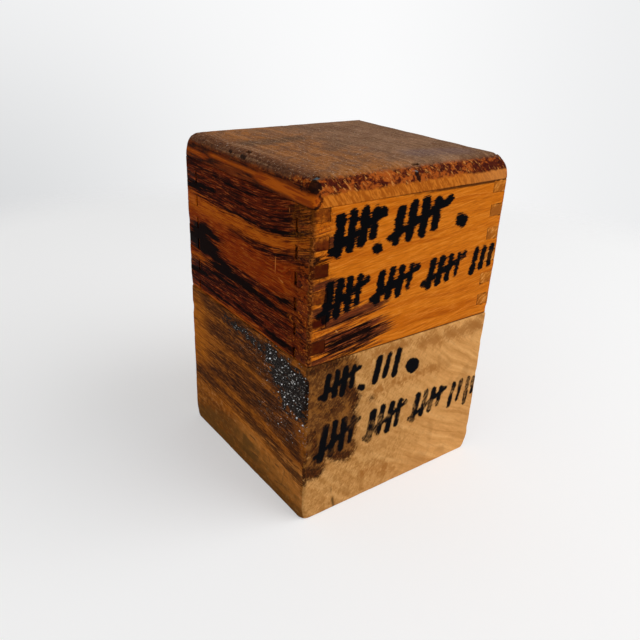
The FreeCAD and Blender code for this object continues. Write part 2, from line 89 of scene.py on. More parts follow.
def size_setting(name, description, default, highest, lowest=0):
    """One length, given in millimetres."""
    metres = {"default": default * MM, "min": lowest * MM, "max": highest * MM}
    return bpy.props.FloatProperty(name=name, description=description, unit="LENGTH", **metres)


def colour_setting(name, description, *shade):
    """One colour, given as a tone."""
    return bpy.props.FloatVectorProperty(
        name=name, description=description, default=tone(*shade), subtype="COLOR", size=3, min=0, max=1
    )


class StorageBoxShape(bpy.types.PropertyGroup):
    cell: size_setting("Cell", "Size of the mesh cells that the wear is worked into", 0.5, 2, 0.3)
    arris_round: size_setting("Arris", "Usual rounding of the upright edges", 0.6, 3)
    top_round: size_setting("Top rounding", "Rounded upper edge of the top board", 4.8, 6)
    foot_round: size_setting("Foot rounding", "Bottom edges at the front and left", 0.6, 5)
    worn_foot_round: size_setting("Worn foot rounding", "Bottom edges at the back and right", 3.0, 5)
    waviness: size_setting("Waviness", "How far the worn faces dip below flat", 0.16, 1)
    well_diameter: size_setting("Well diameter", "Bored well in the block", 44, 55, 10)
    well_depth: size_setting("Well depth", "From the seam to the well's floor", 34, 42, 5)
    nail_sink: size_setting("Nail sink", "How far the nail heads lie below the top", 1.4, 3)


class StorageBoxColours(bpy.types.PropertyGroup):
    varnish: colour_setting("Varnish", "Bright varnished wood of the lid", 200, 109, 18)
    varnish_deep: colour_setting("Deep varnish", "Darker grain of the lid's wood", 180, 88, 6)
    varnish_worn: colour_setting("Worn varnish", "Redder varnish of the lid's left side", 164, 72, 12)
    end_grain: colour_setting("Finger ends", "End grain of the box joint's fingers", 192, 120, 44)
    bare_wood: colour_setting("Bare wood", "Clean wood inside the box", 196, 150, 96)
    block_end: colour_setting("Block end grain", "Block's front and back", 192, 140, 80)
    block_side: colour_setting("Block side", "Block's left and right", 166, 92, 20)
    grime: colour_setting("Grime", "Grey-brown dirt of the top", 134, 99, 73)
    tar: colour_setting("Tar", "Black crust on the block", 9, 4, 3)
    paint: colour_setting("Paint", "Brushed black marks", 3, 3, 5)
    brass: colour_setting("Brass", "Hinges and their screws", 168, 132, 66)
    steel: colour_setting("Steel", "Nail heads", 70, 56, 48)


# Shader maths

class Value:
    """A node's output. Python's arithmetic on it adds the Math nodes."""

    def __init__(self, nodes, socket):
        self.nodes = nodes
        self.socket = socket

    def math(self, operation, *terms):
        return self.nodes.node("ShaderNodeMath", {"operation": operation}, dict(enumerate(terms)))[0]

    def __add__(self, other):
        return self.math("ADD", self, other)

    def __radd__(self, other):
        return self.math("ADD", other, self)

    def __sub__(self, other):
        return self.math("SUBTRACT", self, other)

    def __rsub__(self, other):
        return self.math("SUBTRACT", other, self)

    def __mul__(self, other):
        return self.math("MULTIPLY", self, other)

    def __rmul__(self, other):
        return self.math("MULTIPLY", other, self)

    def __truediv__(self, other):
        return self.math("DIVIDE", self, other)

    def __rtruediv__(self, other):
        return self.math("DIVIDE", other, self)

    def __abs__(self):
        return self.math("ABSOLUTE", self)

    def or_more(self, other):
        return self.math("MAXIMUM", self, other)

    def rises(self, low, high):
        """0 below low, 1 above high and smooth between them, or falls if high is the lower."""
        return self.nodes.node(
            "ShaderNodeMapRange", {"interpolation_type": "SMOOTHSTEP"},
            {"Value": self, "From Min": low, "From Max": high},
        )[0]

    def frayed(self, pattern, swing):
        """This value, moved by a pattern of 0 to 1 over a range as wide as the swing."""
        return self + (pattern - 0.5) * swing

    def under(self, colour, mask):
        """This colour, with another laid over it where the mask is 1."""
        return self.nodes.mix(self, colour, mask)

    def veined(self, pattern, *layers):
        """This colour under tones that follow one pattern, each with its low, high and strength."""
        colour = self
        for shade, low, high, strength in layers:
            colour = colour.under(shade, pattern.rises(low, high) * strength)
        return colour


class Nodes:
    """The nodes of a material or of the world."""

    def __init__(self, tree):
        self.tree = tree
        tree.nodes.clear()

    def node(self, kind, settings=None, sockets=None):
        """Adds a node: first its settings, then the values or links of its sockets. Gives its outputs."""
        new = self.tree.nodes.new(kind)
        for name, setting in (settings or {}).items():
            setattr(new, name, setting)
        for name, term in (sockets or {}).items():
            if isinstance(term, Value):
                self.tree.links.new(term.socket, new.inputs[name])
            else:
                new.inputs[name].default_value = term
        return [Value(self, output) for output in new.outputs]

    def vector(self, operation, *terms, scale=None):
        """One Vector Math node: its vector output, or its number for a dot product or a length."""
        sockets = dict(enumerate(terms))
        if scale is not None:
            sockets["Scale"] = scale
        outputs = self.node("ShaderNodeVectorMath", {"operation": operation}, sockets)
        return outputs[1] if operation in ("DOT_PRODUCT", "LENGTH", "DISTANCE") else outputs[0]

    def joined(self, x, y, z):
        return self.node("ShaderNodeCombineXYZ", {}, {0: x, 1: y, 2: z})[0]

    def mix(self, first, second, mask):
        """The first colour, with the second laid over it where the mask is 1. A plain tuple is a tone."""
        terms = {0: mask}
        for index, colour in ((6, first), (7, second)):
            if isinstance(colour, tuple):
                colour = tone(*colour)
            terms[index] = colour if isinstance(colour, Value) else (*colour, 1)
        return self.node("ShaderNodeMix", {"data_type": "RGBA", "blend_type": "MIX"}, terms)[2]


class Finish(Nodes):
    """One material. Its patterns read the place on the surface, in millimetres."""

    def __init__(self, name):
        self.material = bpy.data.materials.new(name)
        self.material.use_nodes = True
        super().__init__(self.material.node_tree)
        place = self.node("ShaderNodeTexCoord")[3]
        self.point = self.vector("SCALE", place, scale=1 / MM)
        self.x, self.y, self.z = self.node("ShaderNodeSeparateXYZ", {}, {0: self.point})

    def cloud(self, stretch, detail=3, roughness=0.55, point=None, distortion=0):
        """Soft noise from 0 to 1. Stretch is the number of blotches to a millimetre along X, Y and Z."""
        if not isinstance(stretch, tuple):
            stretch = (stretch,) * 3
        where = self.vector("MULTIPLY", point or self.point, stretch)
        sockets = {"Detail": detail, "Roughness": roughness, "Distortion": distortion}
        return self.node("ShaderNodeTexNoise", {}, {"Vector": where, "Scale": 1, **sockets})[0]

    def slanted(self, x, z):
        """The place measured along a slanted line on the front."""
        return self.vector("DOT_PRODUCT", self.point, (x, 0, z))

    def field(self, name):
        """A number kept on the piece's own points."""
        return self.node("ShaderNodeAttribute", {"attribute_name": name})[2]

    def bar(self, where, start, end, radius):
        """How deep a place lies inside a round-ended bar between two others, in millimetres."""
        start, end = Vector((*start, 0)), Vector((*end, 0))
        unit = (end - start) / (end - start).length_squared
        along = self.vector("DOT_PRODUCT", where, tuple(unit))
        clamped = {"operation": "ADD", "use_clamp": True}
        share = self.node("ShaderNodeMath", clamped, {0: along, 1: -start.dot(unit)})[0]
        nearest = self.vector("MULTIPLY_ADD", tuple(end - start), share, tuple(start))
        return radius - self.vector("DISTANCE", where, nearest)

    def finish_surface(self, colour, roughness, height, relief, metallic=0, specular=0.5):
        """The shader itself. Height is in millimetres, and relief is how much it tilts the surface."""
        bump = self.node("ShaderNodeBump", {}, {"Strength": relief, "Distance": MM, "Height": height})[0]
        sockets = {
            "Base Color": colour, "Roughness": roughness, "Metallic": metallic, "Normal": bump,
            "Specular IOR Level": specular,
        }
        shader = self.node("ShaderNodeBsdfPrincipled", {}, sockets)[0]
        self.node("ShaderNodeOutputMaterial", {}, {0: shader})
        return self.material


# Marks and stains. Each bar is u, v, u, v and radius in millimetres, on one side of the box.

OUTSIDE_MM = -9.0
RISE_START_MM = 34
RISE_LENGTH_MM = 25


def side_place(side, x, y, z, reach):
    """u and v of every point, and which points lie on a side of the box or within reach behind it."""
    across, depth, limit = {
        "front": (x + HALF_WIDTH_MM, -y, HALF_DEPTH_MM),
        "left": (HALF_DEPTH_MM - y, -x, HALF_WIDTH_MM),
        "back": (HALF_WIDTH_MM - x, y, HALF_DEPTH_MM),
        "right": (y + HALF_DEPTH_MM, x, HALF_WIDTH_MM),
    }[side]
    return across, TOP_MM - z, depth > limit - reach


def depth_in_bar(u, v, bar, squeeze):
    """How deep places lie inside a round-ended bar. Squeeze below 1 draws its ends out along u."""
    u0, v0, u1, v1, radius = bar
    run, drop = u1 - u0, v1 - v0
    length = run * run + drop * drop
    share = numpy.clip(((u - u0) * run + (v - v0) * drop) / length, 0, 1) if length else 0
    return radius - numpy.hypot((u - u0 - run * share) * squeeze, v - v0 - drop * share)


def lay_out(piece, name, groups, reach):
    """Keeps on every point how deep it lies in a set of marks, for the finish to read as a field.

    A group of bars has its side, its squeeze, how far it rises towards the near corner, and its bars.
    """
    places = numpy.empty(len(piece.data.vertices) * 3)
    piece.data.vertices.foreach_get("co", places)
    x, y, z = places.reshape(-1, 3).T / MM
    depths = numpy.full(len(x), OUTSIDE_MM)
    for side, squeeze, rise, marks in groups:
        u, v, on_side = side_place(side, x, y, z, reach)
        v = v + rise * numpy.maximum(0, (u - RISE_START_MM) / RISE_LENGTH_MM) ** 2
        for mark in marks:
            depth = numpy.maximum(depths, depth_in_bar(u, v, mark, squeeze))
            depths = numpy.where(on_side, depth, depths)
    field = piece.data.attributes.new(name, "FLOAT", "POINT")
    field.data.foreach_set("value", depths)


# Tally strokes and dots, brushed in black

LID_MARKS = [
    (7.9, 9.6, 7, 17.6, 1.45), (11.3, 9.2, 10.5, 17, 1.3), (14.6, 9.1, 13.9, 16, 1.4),
    (17.8, 9, 17.2, 14.6, 1.15), (5.6, 16.8, 20.2, 9.8, 1.15), (18.6, 18.3, 19.2, 18.4, 1.3),
    (25.6, 10, 24.4, 17.2, 1.45), (29.6, 9.2, 28.6, 17, 1.4), (33.6, 9, 32.8, 16.7, 1.45),
    (37.6, 9.1, 36.8, 15.9, 1.35), (22.8, 16.4, 41.4, 9.6, 1.2), (46, 15.2, 47, 15.6, 1.8),
    (5.6, 24.8, 4.6, 33.2, 1.3), (8.6, 24.6, 7.7, 32.6, 1.15), (11.5, 24.6, 10.7, 31.6, 1.15),
    (14.3, 24.8, 13.6, 30.8, 1), (2.9, 32, 16.6, 25.6, 0.95), (21.2, 25, 19.9, 31.8, 1.2),
    (24.4, 24.9, 23.3, 31.4, 1.1), (27.6, 24.9, 26.6, 31.2, 1.15), (30.6, 25, 29.8, 30.4, 0.95),
    (18.4, 31.2, 32.8, 25.6, 0.9), (38.2, 25.1, 36.9, 31.4, 1.2), (41.4, 24.9, 40.3, 31, 1.1),
    (44.5, 24.9, 43.5, 30.6, 1.05), (47.4, 24.9, 46.6, 30, 0.9), (35.2, 30.9, 49.4, 25.2, 0.85),
    (54, 25, 53, 30.8, 1.1), (57, 24.8, 56.2, 30.2, 1), (60, 24.8, 59.4, 29.6, 0.9),
]
BLOCK_MARKS = [
    (6.6, 48.8, 5.6, 54.8, 0.95), (9.2, 48.4, 8.4, 54.8, 0.85), (11.8, 48.2, 11, 55.2, 0.95),
    (14.4, 48.4, 13.8, 53.8, 0.75), (4, 54.2, 16.2, 49, 0.65), (16.6, 55, 17.6, 55.6, 0.85),
    (22.8, 48.6, 21.4, 54.8, 1.05), (26, 48.3, 24.8, 54.2, 0.85), (29.4, 47.9, 28.2, 54.8, 1),
    (34.4, 53.8, 35.2, 54.2, 2.2), (6.4, 63.6, 5, 72.8, 1.15), (9.4, 63.2, 8.2, 72.6, 0.95),
    (12.4, 63.4, 11.4, 71.8, 1.05), (15.2, 63.8, 14.4, 70.6, 0.8), (3.4, 71.6, 17.2, 64.6, 0.75),
    (22.2, 64.4, 21, 72.6, 1.15), (25.4, 64, 24.2, 71.8, 0.95), (28.6, 64.2, 27.5, 72.2, 1.1),
    (31.6, 64, 30.6, 71.4, 0.85), (19.4, 71.8, 33.6, 65.2, 0.75), (38.4, 64.6, 37, 72, 1.1),
    (41.4, 64.5, 40.2, 71.4, 0.9), (44.4, 64.6, 43.3, 71, 1), (47.2, 64.8, 46.4, 70.2, 0.75),
    (35.6, 71.4, 49.2, 65.6, 0.7), (52.6, 65.4, 51.4, 72.4, 0.85), (55.6, 65.3, 54.6, 71.2, 0.7),
    (58.6, 65.5, 58, 73.4, 0.85), (61, 65.8, 60.8, 70.6, 0.7),
]

# Stains and wear of the lid's walls

LID_STREAKED = [
    ("front", 0.3, 0, [
        (8, 34.4, 17, 33, 1.6), (7, 38.9, 19, 37.6, 1.5), (7, 41.2, 18, 39.8, 1.8),
        (5, 44, 17, 42.4, 0.9), (0, 25, 3.2, 24.6, 1.3), (0, 31, 3.6, 30.8, 1.2),
        (0, 14.8, 3, 14.4, 1.3), (0, 44, 5, 43.8, 1),
    ]),
    ("left", 0.1, 4.4, [
        (12, 7.4, 46, 7.6, 2.1), (14, 11.2, 52, 11.6, 3.6), (20, 14.8, 44, 15.2, 1.8),
        (2, 7.4, 10, 8, 1.6), (52, 22.4, 58, 22.6, 1.6),
    ]),
    ("left", 0.12, -1, [
        (6, 40.2, 56, 40.6, 3), (26, 36.8, 56, 37.4, 1.6), (12, 36.8, 30, 36.6, 1.5),
        (20, 30.6, 40, 32, 0.9),
    ]),
    ("back", 0.15, 0, [(4, 12, 30, 11, 2.2), (40, 38, 60, 39, 3), (0, 24, 14, 25, 1.6)]),
    ("right", 0.15, 0, [(28, 10, 60, 9.4, 2), (0, 41, 26, 42, 1.8), (44, 30, 60, 29, 2.4)]),
]
LID_BLACK = [
    ("front", 0.2, 0, [(0.2, 18, 0.4, 18.6, 0.8), (8, 40.2, 17, 39, 0.9), (8, 44, 15, 43, 0.4)]),
    ("front", 0.12, 0, [(7, 42, 15, 41, 0.5), (9, 38.4, 16, 37.4, 0.4), (9, 35.2, 14, 34.6, 0.3)]),
    ("left", 0.12, 4.4, [
        (3.6, 13.8, 9, 13.2, 1), (26, 6, 42, 6.2, 0.4), (22, 16.1, 42, 16.3, 0.3),
        (47, 16.4, 53, 16.8, 0.6), (34, 21.2, 36, 21.1, 0.3), (49, 21.8, 54, 21.6, 0.2),
        (16, 9, 40, 9.4, 0.2), (30, 12.8, 50, 13.4, 0.25),
    ]),
    ("left", 0.3, -1, [
        (6.6, 25.2, 10.8, 24.6, 1.2), (10, 25.6, 17, 25.8, 0.6), (8, 29, 9.4, 29.4, 2.7),
        (7, 27, 8, 31, 1.6), (9, 27.8, 12.6, 28.6, 1.3), (13, 30.8, 22, 32.4, 1.5),
        (18, 33.6, 34, 34, 1.5), (34, 34.3, 43, 34.6, 0.9), (49, 31.4, 52.6, 30.2, 0.7),
    ]),
    ("left", 0.14, -1, [
        (30, 34.2, 52, 34.4, 0.7), (10, 36.6, 24, 36.2, 0.6), (0, 39.2, 6, 38.2, 0.9),
        (28, 41.2, 46, 42.2, 0.4), (50, 42.4, 57, 41.8, 0.8), (8, 42, 20, 42.4, 0.4),
    ]),
    ("back", 0.2, 0, [(6, 12, 20, 11.6, 0.8), (48, 38.6, 60, 39, 1)]),
    ("right", 0.2, 0, [(40, 10, 58, 9.6, 0.8), (50, 29.6, 60, 29.2, 1.1)]),
]
LID_CLEAN = [
    ("left", 0.25, -1, [
        (40.6, 36.9, 43.6, 37.2, 0.8), (0, 36, 8, 34.2, 1.5), (0, 44.3, 60, 44.3, 0.5),
        (49, 26.6, 51, 28, 0.4),
    ]),
    ("left", 0.3, 4.4, [(47, 18.6, 59, 18.6, 1.4), (4, 18.6, 48, 18.6, 1.8), (2, 11.4, 6, 11.2, 0.6)]),
    ("front", 0.3, 0, [(2, 36.4, 16, 35.6, 0.7), (0, 17.8, 3, 17.8, 0.9), (0, 11.6, 3, 11.4, 0.8)]),
]
LID_SCRATCHES = [
    ("left", 1, 0, [
        (46.6, 21.6, 46.3, 26, 0.22), (48, 26.4, 49.8, 26.9, 0.24), (52, 8.4, 52.3, 10.6, 0.14),
        (30, 24, 31.4, 24.2, 0.14),
    ]),
    ("front", 1, 0, [(24.2, 33.4, 26.6, 34.8, 0.12), (51, 12.6, 53.4, 11.4, 0.1)]),
]
LID_RED = [
    ("front", 1, 0, [
        (20.2, 43.2, 22.6, 42, 0.2), (21.6, 43.9, 24.4, 42.2, 0.16), (8, 36.9, 8.3, 37.3, 0.26),
    ]),
]
FINGER_DARK = [
    ("front", 1, 0, [
        (0.4, 21.1, 4.2, 21.1, 1.9), (0.4, 40, 4.2, 40, 1.9), (0, 33.8, 3.6, 33.8, 0.9),
        (0, 16, 3.4, 16.2, 0.6),
    ]),
]
FINGER_BROWN = [
    ("front", 1, 0, [
        (1, 15.4, 4.4, 15.4, 1.3), (1, 28.2, 2.4, 28.6, 0.9), (1, 33.6, 4.4, 33.6, 1.5),
        (58.4, 14.9, 61, 14.9, 1.5), (57.4, 21, 58.2, 21, 1),
    ]),
]

# Stains and wear of the block

BLOCK_STAIN = [
    ("front", 1, 0, [
        (-2, 46, 12, 48, 3.4), (1, 54, 11, 58, 5.6), (0, 64, 10, 66, 6.6), (0, 74, 3.4, 74.6, 3.6),
        (8, 70, 13.6, 73, 3.4),
    ]),
    ("right", 0.3, 0, [(8, 66, 34, 65, 2), (30, 80, 60, 79, 2.2)]),
]
BLOCK_DARK = [
    ("front", 1, 0, [
        (12, 53, 15.4, 58, 1.5), (14.6, 57, 15.6, 63, 0.7), (10, 73.6, 13.6, 75, 1.5),
        (0, 75.6, 4.4, 76.6, 1.7), (-1, 46.2, 9, 45.8, 0.9), (2.6, 64, 3.6, 73, 0.9),
        (4, 56.6, 5, 57.2, 0.5), (20.8, 59.6, 21, 59.6, 0.5), (7, 60, 10, 58, 0.8),
    ]),
    ("left", 0.14, -2.6, [
        (30, 46, 60, 46, 0.5), (20, 47.8, 56, 48, 2.2), (24, 51, 56, 51.4, 0.6),
        (22, 54.4, 58, 55, 1.6), (26, 60.2, 50, 60.4, 0.6), (38, 61.8, 56, 62.2, 1.4),
        (20, 63.2, 36, 63, 0.8), (30, 65, 56, 66.6, 1.5), (20, 67.8, 46, 68.2, 1.1),
        (36, 67, 54, 68.2, 1.6), (8, 73, 14, 73.2, 1), (18, 73, 34, 73.2, 0.5),
        (33, 75.2, 46, 75.2, 0.4), (50, 75.6, 60, 75.6, 0.9),
    ]),
    ("right", 0.14, 0, [(34, 50, 58, 50.6, 1.6), (40, 56, 60, 55, 1.2), (2, 72, 20, 72.4, 0.8)]),
]
BLOCK_TAR = [
    ("left", 0.6, -1.6, [(45, 48.2, 58.6, 48.8, 2.8), (50, 52.8, 58.4, 53, 3.2), (52, 57, 57, 57, 2.4)]),
    ("left", 0.2, -1.6, [(26, 48, 46, 48.4, 0.9)]),
]
# Where the tar's specks lie: painted glints on the tar, and pale specks below it.
BLOCK_SPECKS = [
    ("left", 0.5, -1.6, [
        (46, 49, 58, 50, 5), (50, 54, 58, 60, 5), (30, 48.4, 44, 48.4, 1.6), (46, 66, 56, 64, 3),
        (28, 52, 44, 53, 0),
    ]),
]
BLOCK_SHADE = [
    ("front", 1, 0, [
        (38, 48, 60, 48.2, 2.9), (20, 46.6, 33, 46.6, 2.2), (22, 58, 44, 57.6, 1.8),
        (20, 83, 30, 85.6, 2), (37, 56.6, 38, 57, 1),
    ]),
    ("back", 0.6, 0, [(38, 58, 58, 66, 5), (2, 78, 20, 84, 4)]),
    ("left", 0.3, 0, [(18, 82, 28, 83, 3), (24, 86, 34, 86, 2.4), (-2, 86, 12, 87, 3)]),
]
BLOCK_NICKS = [
    ("front", 1, 0, [(9, 83, 9.8, 88, 0.14), (9.8, 87.6, 10.4, 91, 0.36)]),
    ("left", 1, 0, [
        (52.2, 79.6, 50.8, 85.6, 0.2), (47, 86.6, 54.4, 84.8, 0.18), (35.4, 84.6, 38.6, 84.2, 0.28),
        (34, 79.2, 36.8, 79.2, 0.28), (47.6, 80.8, 49.2, 80.6, 0.3), (44, 80.4, 44.8, 81.8, 0.2),
        (40.4, 80, 41.6, 80, 0.2),
    ]),
]
BLOCK_CLEAN = [
    ("left", 0.3, -1, [(18, 58.2, 42, 58.2, 0.7), (16, 70.6, 44, 70.8, 0.5), (20, 76.6, 44, 77.6, 1)]),
    ("left", 0.5, 0, [(2, 50, 3, 66, 3.6)]),
    ("left", 1, 0, [
        (59.6, 62, 60, 70, 1), (57, 63.6, 58, 66, 0.8), (55, 45.9, 60, 46.8, 0.5),
        (59.6, 54, 60, 55.2, 0.6), (34.8, 80.2, 35.4, 80.2, 0.5), (40.4, 81.2, 41.2, 81.2, 0.4),
    ]),
]

# Wear of the top board

BOARD_STRIP = [
    ("left", 0.25, 0, [(-1, 4.4, 10, 4.8, 0.5), (16, 3.7, 44, 4, 0.45), (42, 4.4, 58, 5, 1.3)]),
    ("right", 0.3, 0, [(4, 3.6, 50, 3.4, 0.8)]),
]
# Near-black spots on the edge: painted shade in the nail holes, and dark gouges and blots.
BOARD_NOTCH = [
    ("front", 1, 0, [
        (30, 2.2, 30.3, 3.6, 0.6), (1.4, 1.5, 1, 2.6, 0.9), (2, 4.2, 2.2, 5.2, 0.35),
        (1.6, 5.8, 0.6, 6.8, 0.4),
    ]),
    ("left", 1, 0, [
        (29.4, 1.3, 31.4, 1.5, 0.45), (23.6, 1.2, 24.6, 1.3, 0.3), (59.4, 1.6, 60.2, 2.4, 0.5),
        (56, 3, 56.4, 3.3, 0.3),
    ]),
]
# Flecks on the edge: a painted glint of a nail head at the middle of the front, and a blue fleck near the
# left corner.
BOARD_FLECK = [
    ("front", 1, 0, [(29, 1.5, 30.4, 1.8, 0.16), (1, 0.5, 3, 0.5, 0.42)]),
]


# Wood finishes

def settings():
    """The colours of the panel."""
    return bpy.context.scene.storage_box_colours


FACE_FROM_MM, FACE_FULL_MM = 0.75, 0.45
INSIDE_FROM_MM, INSIDE_FULL_MM = 1.6, 2.2


def on_front_or_back(finish):
    """1 on the box's front and back faces."""
    return abs(finish.y).rises(HALF_DEPTH_MM - FACE_FROM_MM, HALF_DEPTH_MM - FACE_FULL_MM)


def on_left_or_right(finish):
    """1 on the box's left and right faces."""
    return abs(finish.x).rises(HALF_WIDTH_MM - FACE_FROM_MM, HALF_WIDTH_MM - FACE_FULL_MM)


def inside_box(finish):
    """1 on the faces that only show when the lid is open."""
    across = abs(finish.x).rises(HALF_WIDTH_MM - INSIDE_FROM_MM, HALF_WIDTH_MM - INSIDE_FULL_MM)
    deep = abs(finish.y).rises(HALF_DEPTH_MM - INSIDE_FROM_MM, HALF_DEPTH_MM - INSIDE_FULL_MM)
    return across * deep


def bare_wood(finish, colour, inside, fibres, hairs):
    """Lays bare wood over a finish where the inside shows: grain, pores and the dirt of handling."""
    colours = settings()
    dirt = finish.cloud(0.11, 5, 0.65)
    bare = (
        finish.mix(colours.bare_wood, (164, 114, 62), fibres.rises(0.46, 0.62) * 0.8)
        .under((222, 182, 128), fibres.rises(0.46, 0.34) * 0.5)
        .under((128, 84, 42), hairs.rises(0.54, 0.66) * 0.6)
        .under((126, 84, 44), dirt.rises(0.5, 0.68) * 0.7)
    )
    return finish.mix(colour, bare, inside)


def row_is(finish, parity):
    """1 in the rows of fingers that are odd or even from the seam upwards."""
    pair = (finish.z - SEAM_MM) / (2 * FINGER_MM)
    share = pair.math("FRACT", pair)
    return share.math("GREATER_THAN", share, 0.5) if parity else share.math("LESS_THAN", share, 0.5)


def finger_lines(finish, edge, beyond):
    """Dark lines round the box joint's fingers: between the rows beyond the joint, and down its edge."""
    row = (finish.z - SEAM_MM) / FINGER_MM
    off_row = abs(row - row.math("ROUND", row)) * FINGER_MM
    uneven = finish.cloud(0.45, 4).rises(0.34, 0.6) * 0.3
    return (off_row - 0.12 + uneven).rises(0.2, 0.02) * beyond.or_more(edge)


def joint_edge(finish, where, ragged):
    """The dark edge down each row of joints, on the front and back."""
    off_edge = abs(abs(finish.x) - (HALF_WIDTH_MM - SIDE_WALL_MM))
    return off_edge.rises(0.24, 0.08) * where * ragged.rises(0.6, 0.44)


def lid_wood(finish, along):
    """The lid's varnished wood, stains and streaks, with the grain along one axis: 0 for X or 1 for Y.

    The stains run on over the ends of the fingers, so there the pattern turns to the other axis.
    """
    colours = settings()
    if along:
        turned = finish.y.math("LESS_THAN", abs(finish.y), HALF_DEPTH_MM - 0.5)
    else:
        turned = finish.x.math("GREATER_THAN", abs(finish.x), HALF_WIDTH_MM - 0.5)
    level = finish.x * (1 - turned) + finish.y * turned
    inward = finish.y * (1 - turned) + finish.x * turned
    beyond = ((finish.y + 3.5) * -0.04).or_more(0)
    curved = beyond * beyond * finish.z.rises(65, 69) * -4.4
    lift = level * (1 - turned) * -0.14 + curved * turned
    straight = finish.joined(level, inward, finish.z)
    sway = (finish.cloud((0.05, 0.1, 0.1), 1, point=straight) - 0.5) * 3.6
    swayed = finish.joined(level, inward, finish.z + sway)
    leaning = finish.joined(level, inward, finish.z + lift)
    bands = finish.cloud((0.012, 0.3, 0.3), 2, point=swayed)
    fibres = finish.cloud((0.045, 2.1, 2.1), 5, 0.65, point=swayed)
    lines = finish.cloud((0.05, 1.35, 1.35), 5, 0.7, point=leaning, distortion=0.15)
    hairs = finish.cloud((0.22, 3.6, 3.6), 3, 0.7, point=leaning, distortion=0.2)
    side = on_left_or_right(finish)
    colour = (
        finish.mix(colours.varnish, colours.varnish_deep, bands.rises(0.47, 0.66) * 0.75)
        .veined(fibres, ((224, 138, 46), 0.53, 0.68, 0.42), ((158, 72, 4), 0.47, 0.32, 0.6))
    )
    worn = (
        finish.mix(colours.varnish_worn, (132, 44, 3), lines.rises(0.46, 0.62))
        .under((190, 96, 22), lines.rises(0.45, 0.3) * 0.8)
    )
    left = finish.x.rises(FACE_FROM_MM - HALF_WIDTH_MM, FACE_FULL_MM - HALF_WIDTH_MM)
    colour = colour.under(worn, left)
    low = finish.z.frayed(lines, 8).rises(TOP_MM - 20.5, TOP_MM - 22.5) * side * finish.x.rises(1, -1)
    colour = colour.under((128, 40, 2), low * 0.75)
    dark_hair = finish.mix((138, 62, 8), (66, 16, 2), side)
    colour = (
        colour.under(dark_hair, hairs.rises(0.52, 0.62) * (side * 0.23 + 0.42))
        .under((226, 142, 52), hairs.rises(0.46, 0.36) * (0.46 - side * 0.22))
    )

    clean = finish.field("clean").frayed(lines, 2.6).frayed(hairs, 1.5).rises(-0.4, 0.6)
    colour = colour.under(finish.mix((190, 98, 16), (156, 66, 8), hairs.rises(0.46, 0.58)), clean * 0.7)
    streaked = finish.field("streaked").frayed(lines, 6).frayed(hairs, 3).rises(-0.7, 0.5)
    fine_dark = (
        finish.mix((98, 30, 8), (36, 7, 3), lines.rises(0.44, 0.55))
        .veined(hairs, ((176, 88, 38), 0.45, 0.34, 0.8), ((14, 3, 2), 0.53, 0.62, 0.85))
        .under((98, 50, 30), (1 - side) * 0.4)
    )
    colour = colour.under(fine_dark, streaked * 0.95)
    ragged = (lines - 0.5) * 2.6 + (hairs - 0.5) * 2.6
    halo = (finish.field("black") + ragged * 1.5).rises(-1.6, 0) * side
    colour = colour.under(finish.mix((70, 18, 6), (30, 6, 3), hairs.rises(0.44, 0.56)), halo * 0.75)
    black = (finish.field("black") + ragged).rises(-0.3, 0.25)
    colour = colour.under((8, 1, 1), black * 0.98)
    scratch = finish.field("scratches").frayed(hairs, 0.4).rises(-0.06, 0.1)
    colour = colour.under((206, 122, 52), scratch * 0.7)
    return colour, fibres, hairs


def corner_grime(finish, colour, hairs):
    """Dirt and small chips down the lid's near corner: black, red-brown and orange blotches."""
    from_front = finish.y + HALF_DEPTH_MM
    from_left = finish.x + HALF_WIDTH_MM
    left = on_left_or_right(finish)
    v = TOP_MM - finish.z
    blobs = finish.cloud((0.7, 0.42, 0.95), 4, 0.65)
    crumbs = finish.cloud((1.5, 1.1, 1.9), 4, 0.7)
    off_corner = from_front.or_more(from_left)
    near = off_corner.frayed(blobs, 14).rises(10, 4)
    lower = v.frayed(blobs, 12).rises(16, 20)
    grubby = near * lower * left
    colour = (
        colour.under(finish.mix((112, 44, 10), (62, 18, 6), crumbs.rises(0.44, 0.56)), grubby * 0.55)
        .under((14, 4, 2), blobs.frayed(hairs, 0.5).rises(0.52, 0.6) * grubby * 0.85)
    )
    chips = crumbs.frayed(hairs, 0.4).rises(0.52, 0.62) * blobs.rises(0.53, 0.45)
    colour = colour.under((200, 106, 28), chips * grubby * 0.8)
    olive = near * (1 - lower) * left
    olive_colour = finish.mix((168, 96, 18), (70, 28, 5), (crumbs * 0.5 + hairs * 0.5).rises(0.44, 0.56))
    colour = colour.under(olive_colour, olive * 0.35)
    front_dirt = off_corner.rises(7.4, 4.6) * (1 - left)
    colour = colour.under((64, 24, 8), crumbs.rises(0.5, 0.6) * front_dirt * 0.5)
    on_edge = off_corner.rises(1.5, 0.7)
    rubbed = (crumbs + blobs * 0.4 - v.rises(11, 8.5) * 0.2).rises(0.62, 0.9)
    return colour.under(finish.mix((36, 12, 5), (190, 108, 42), rubbed), on_edge * 0.6)


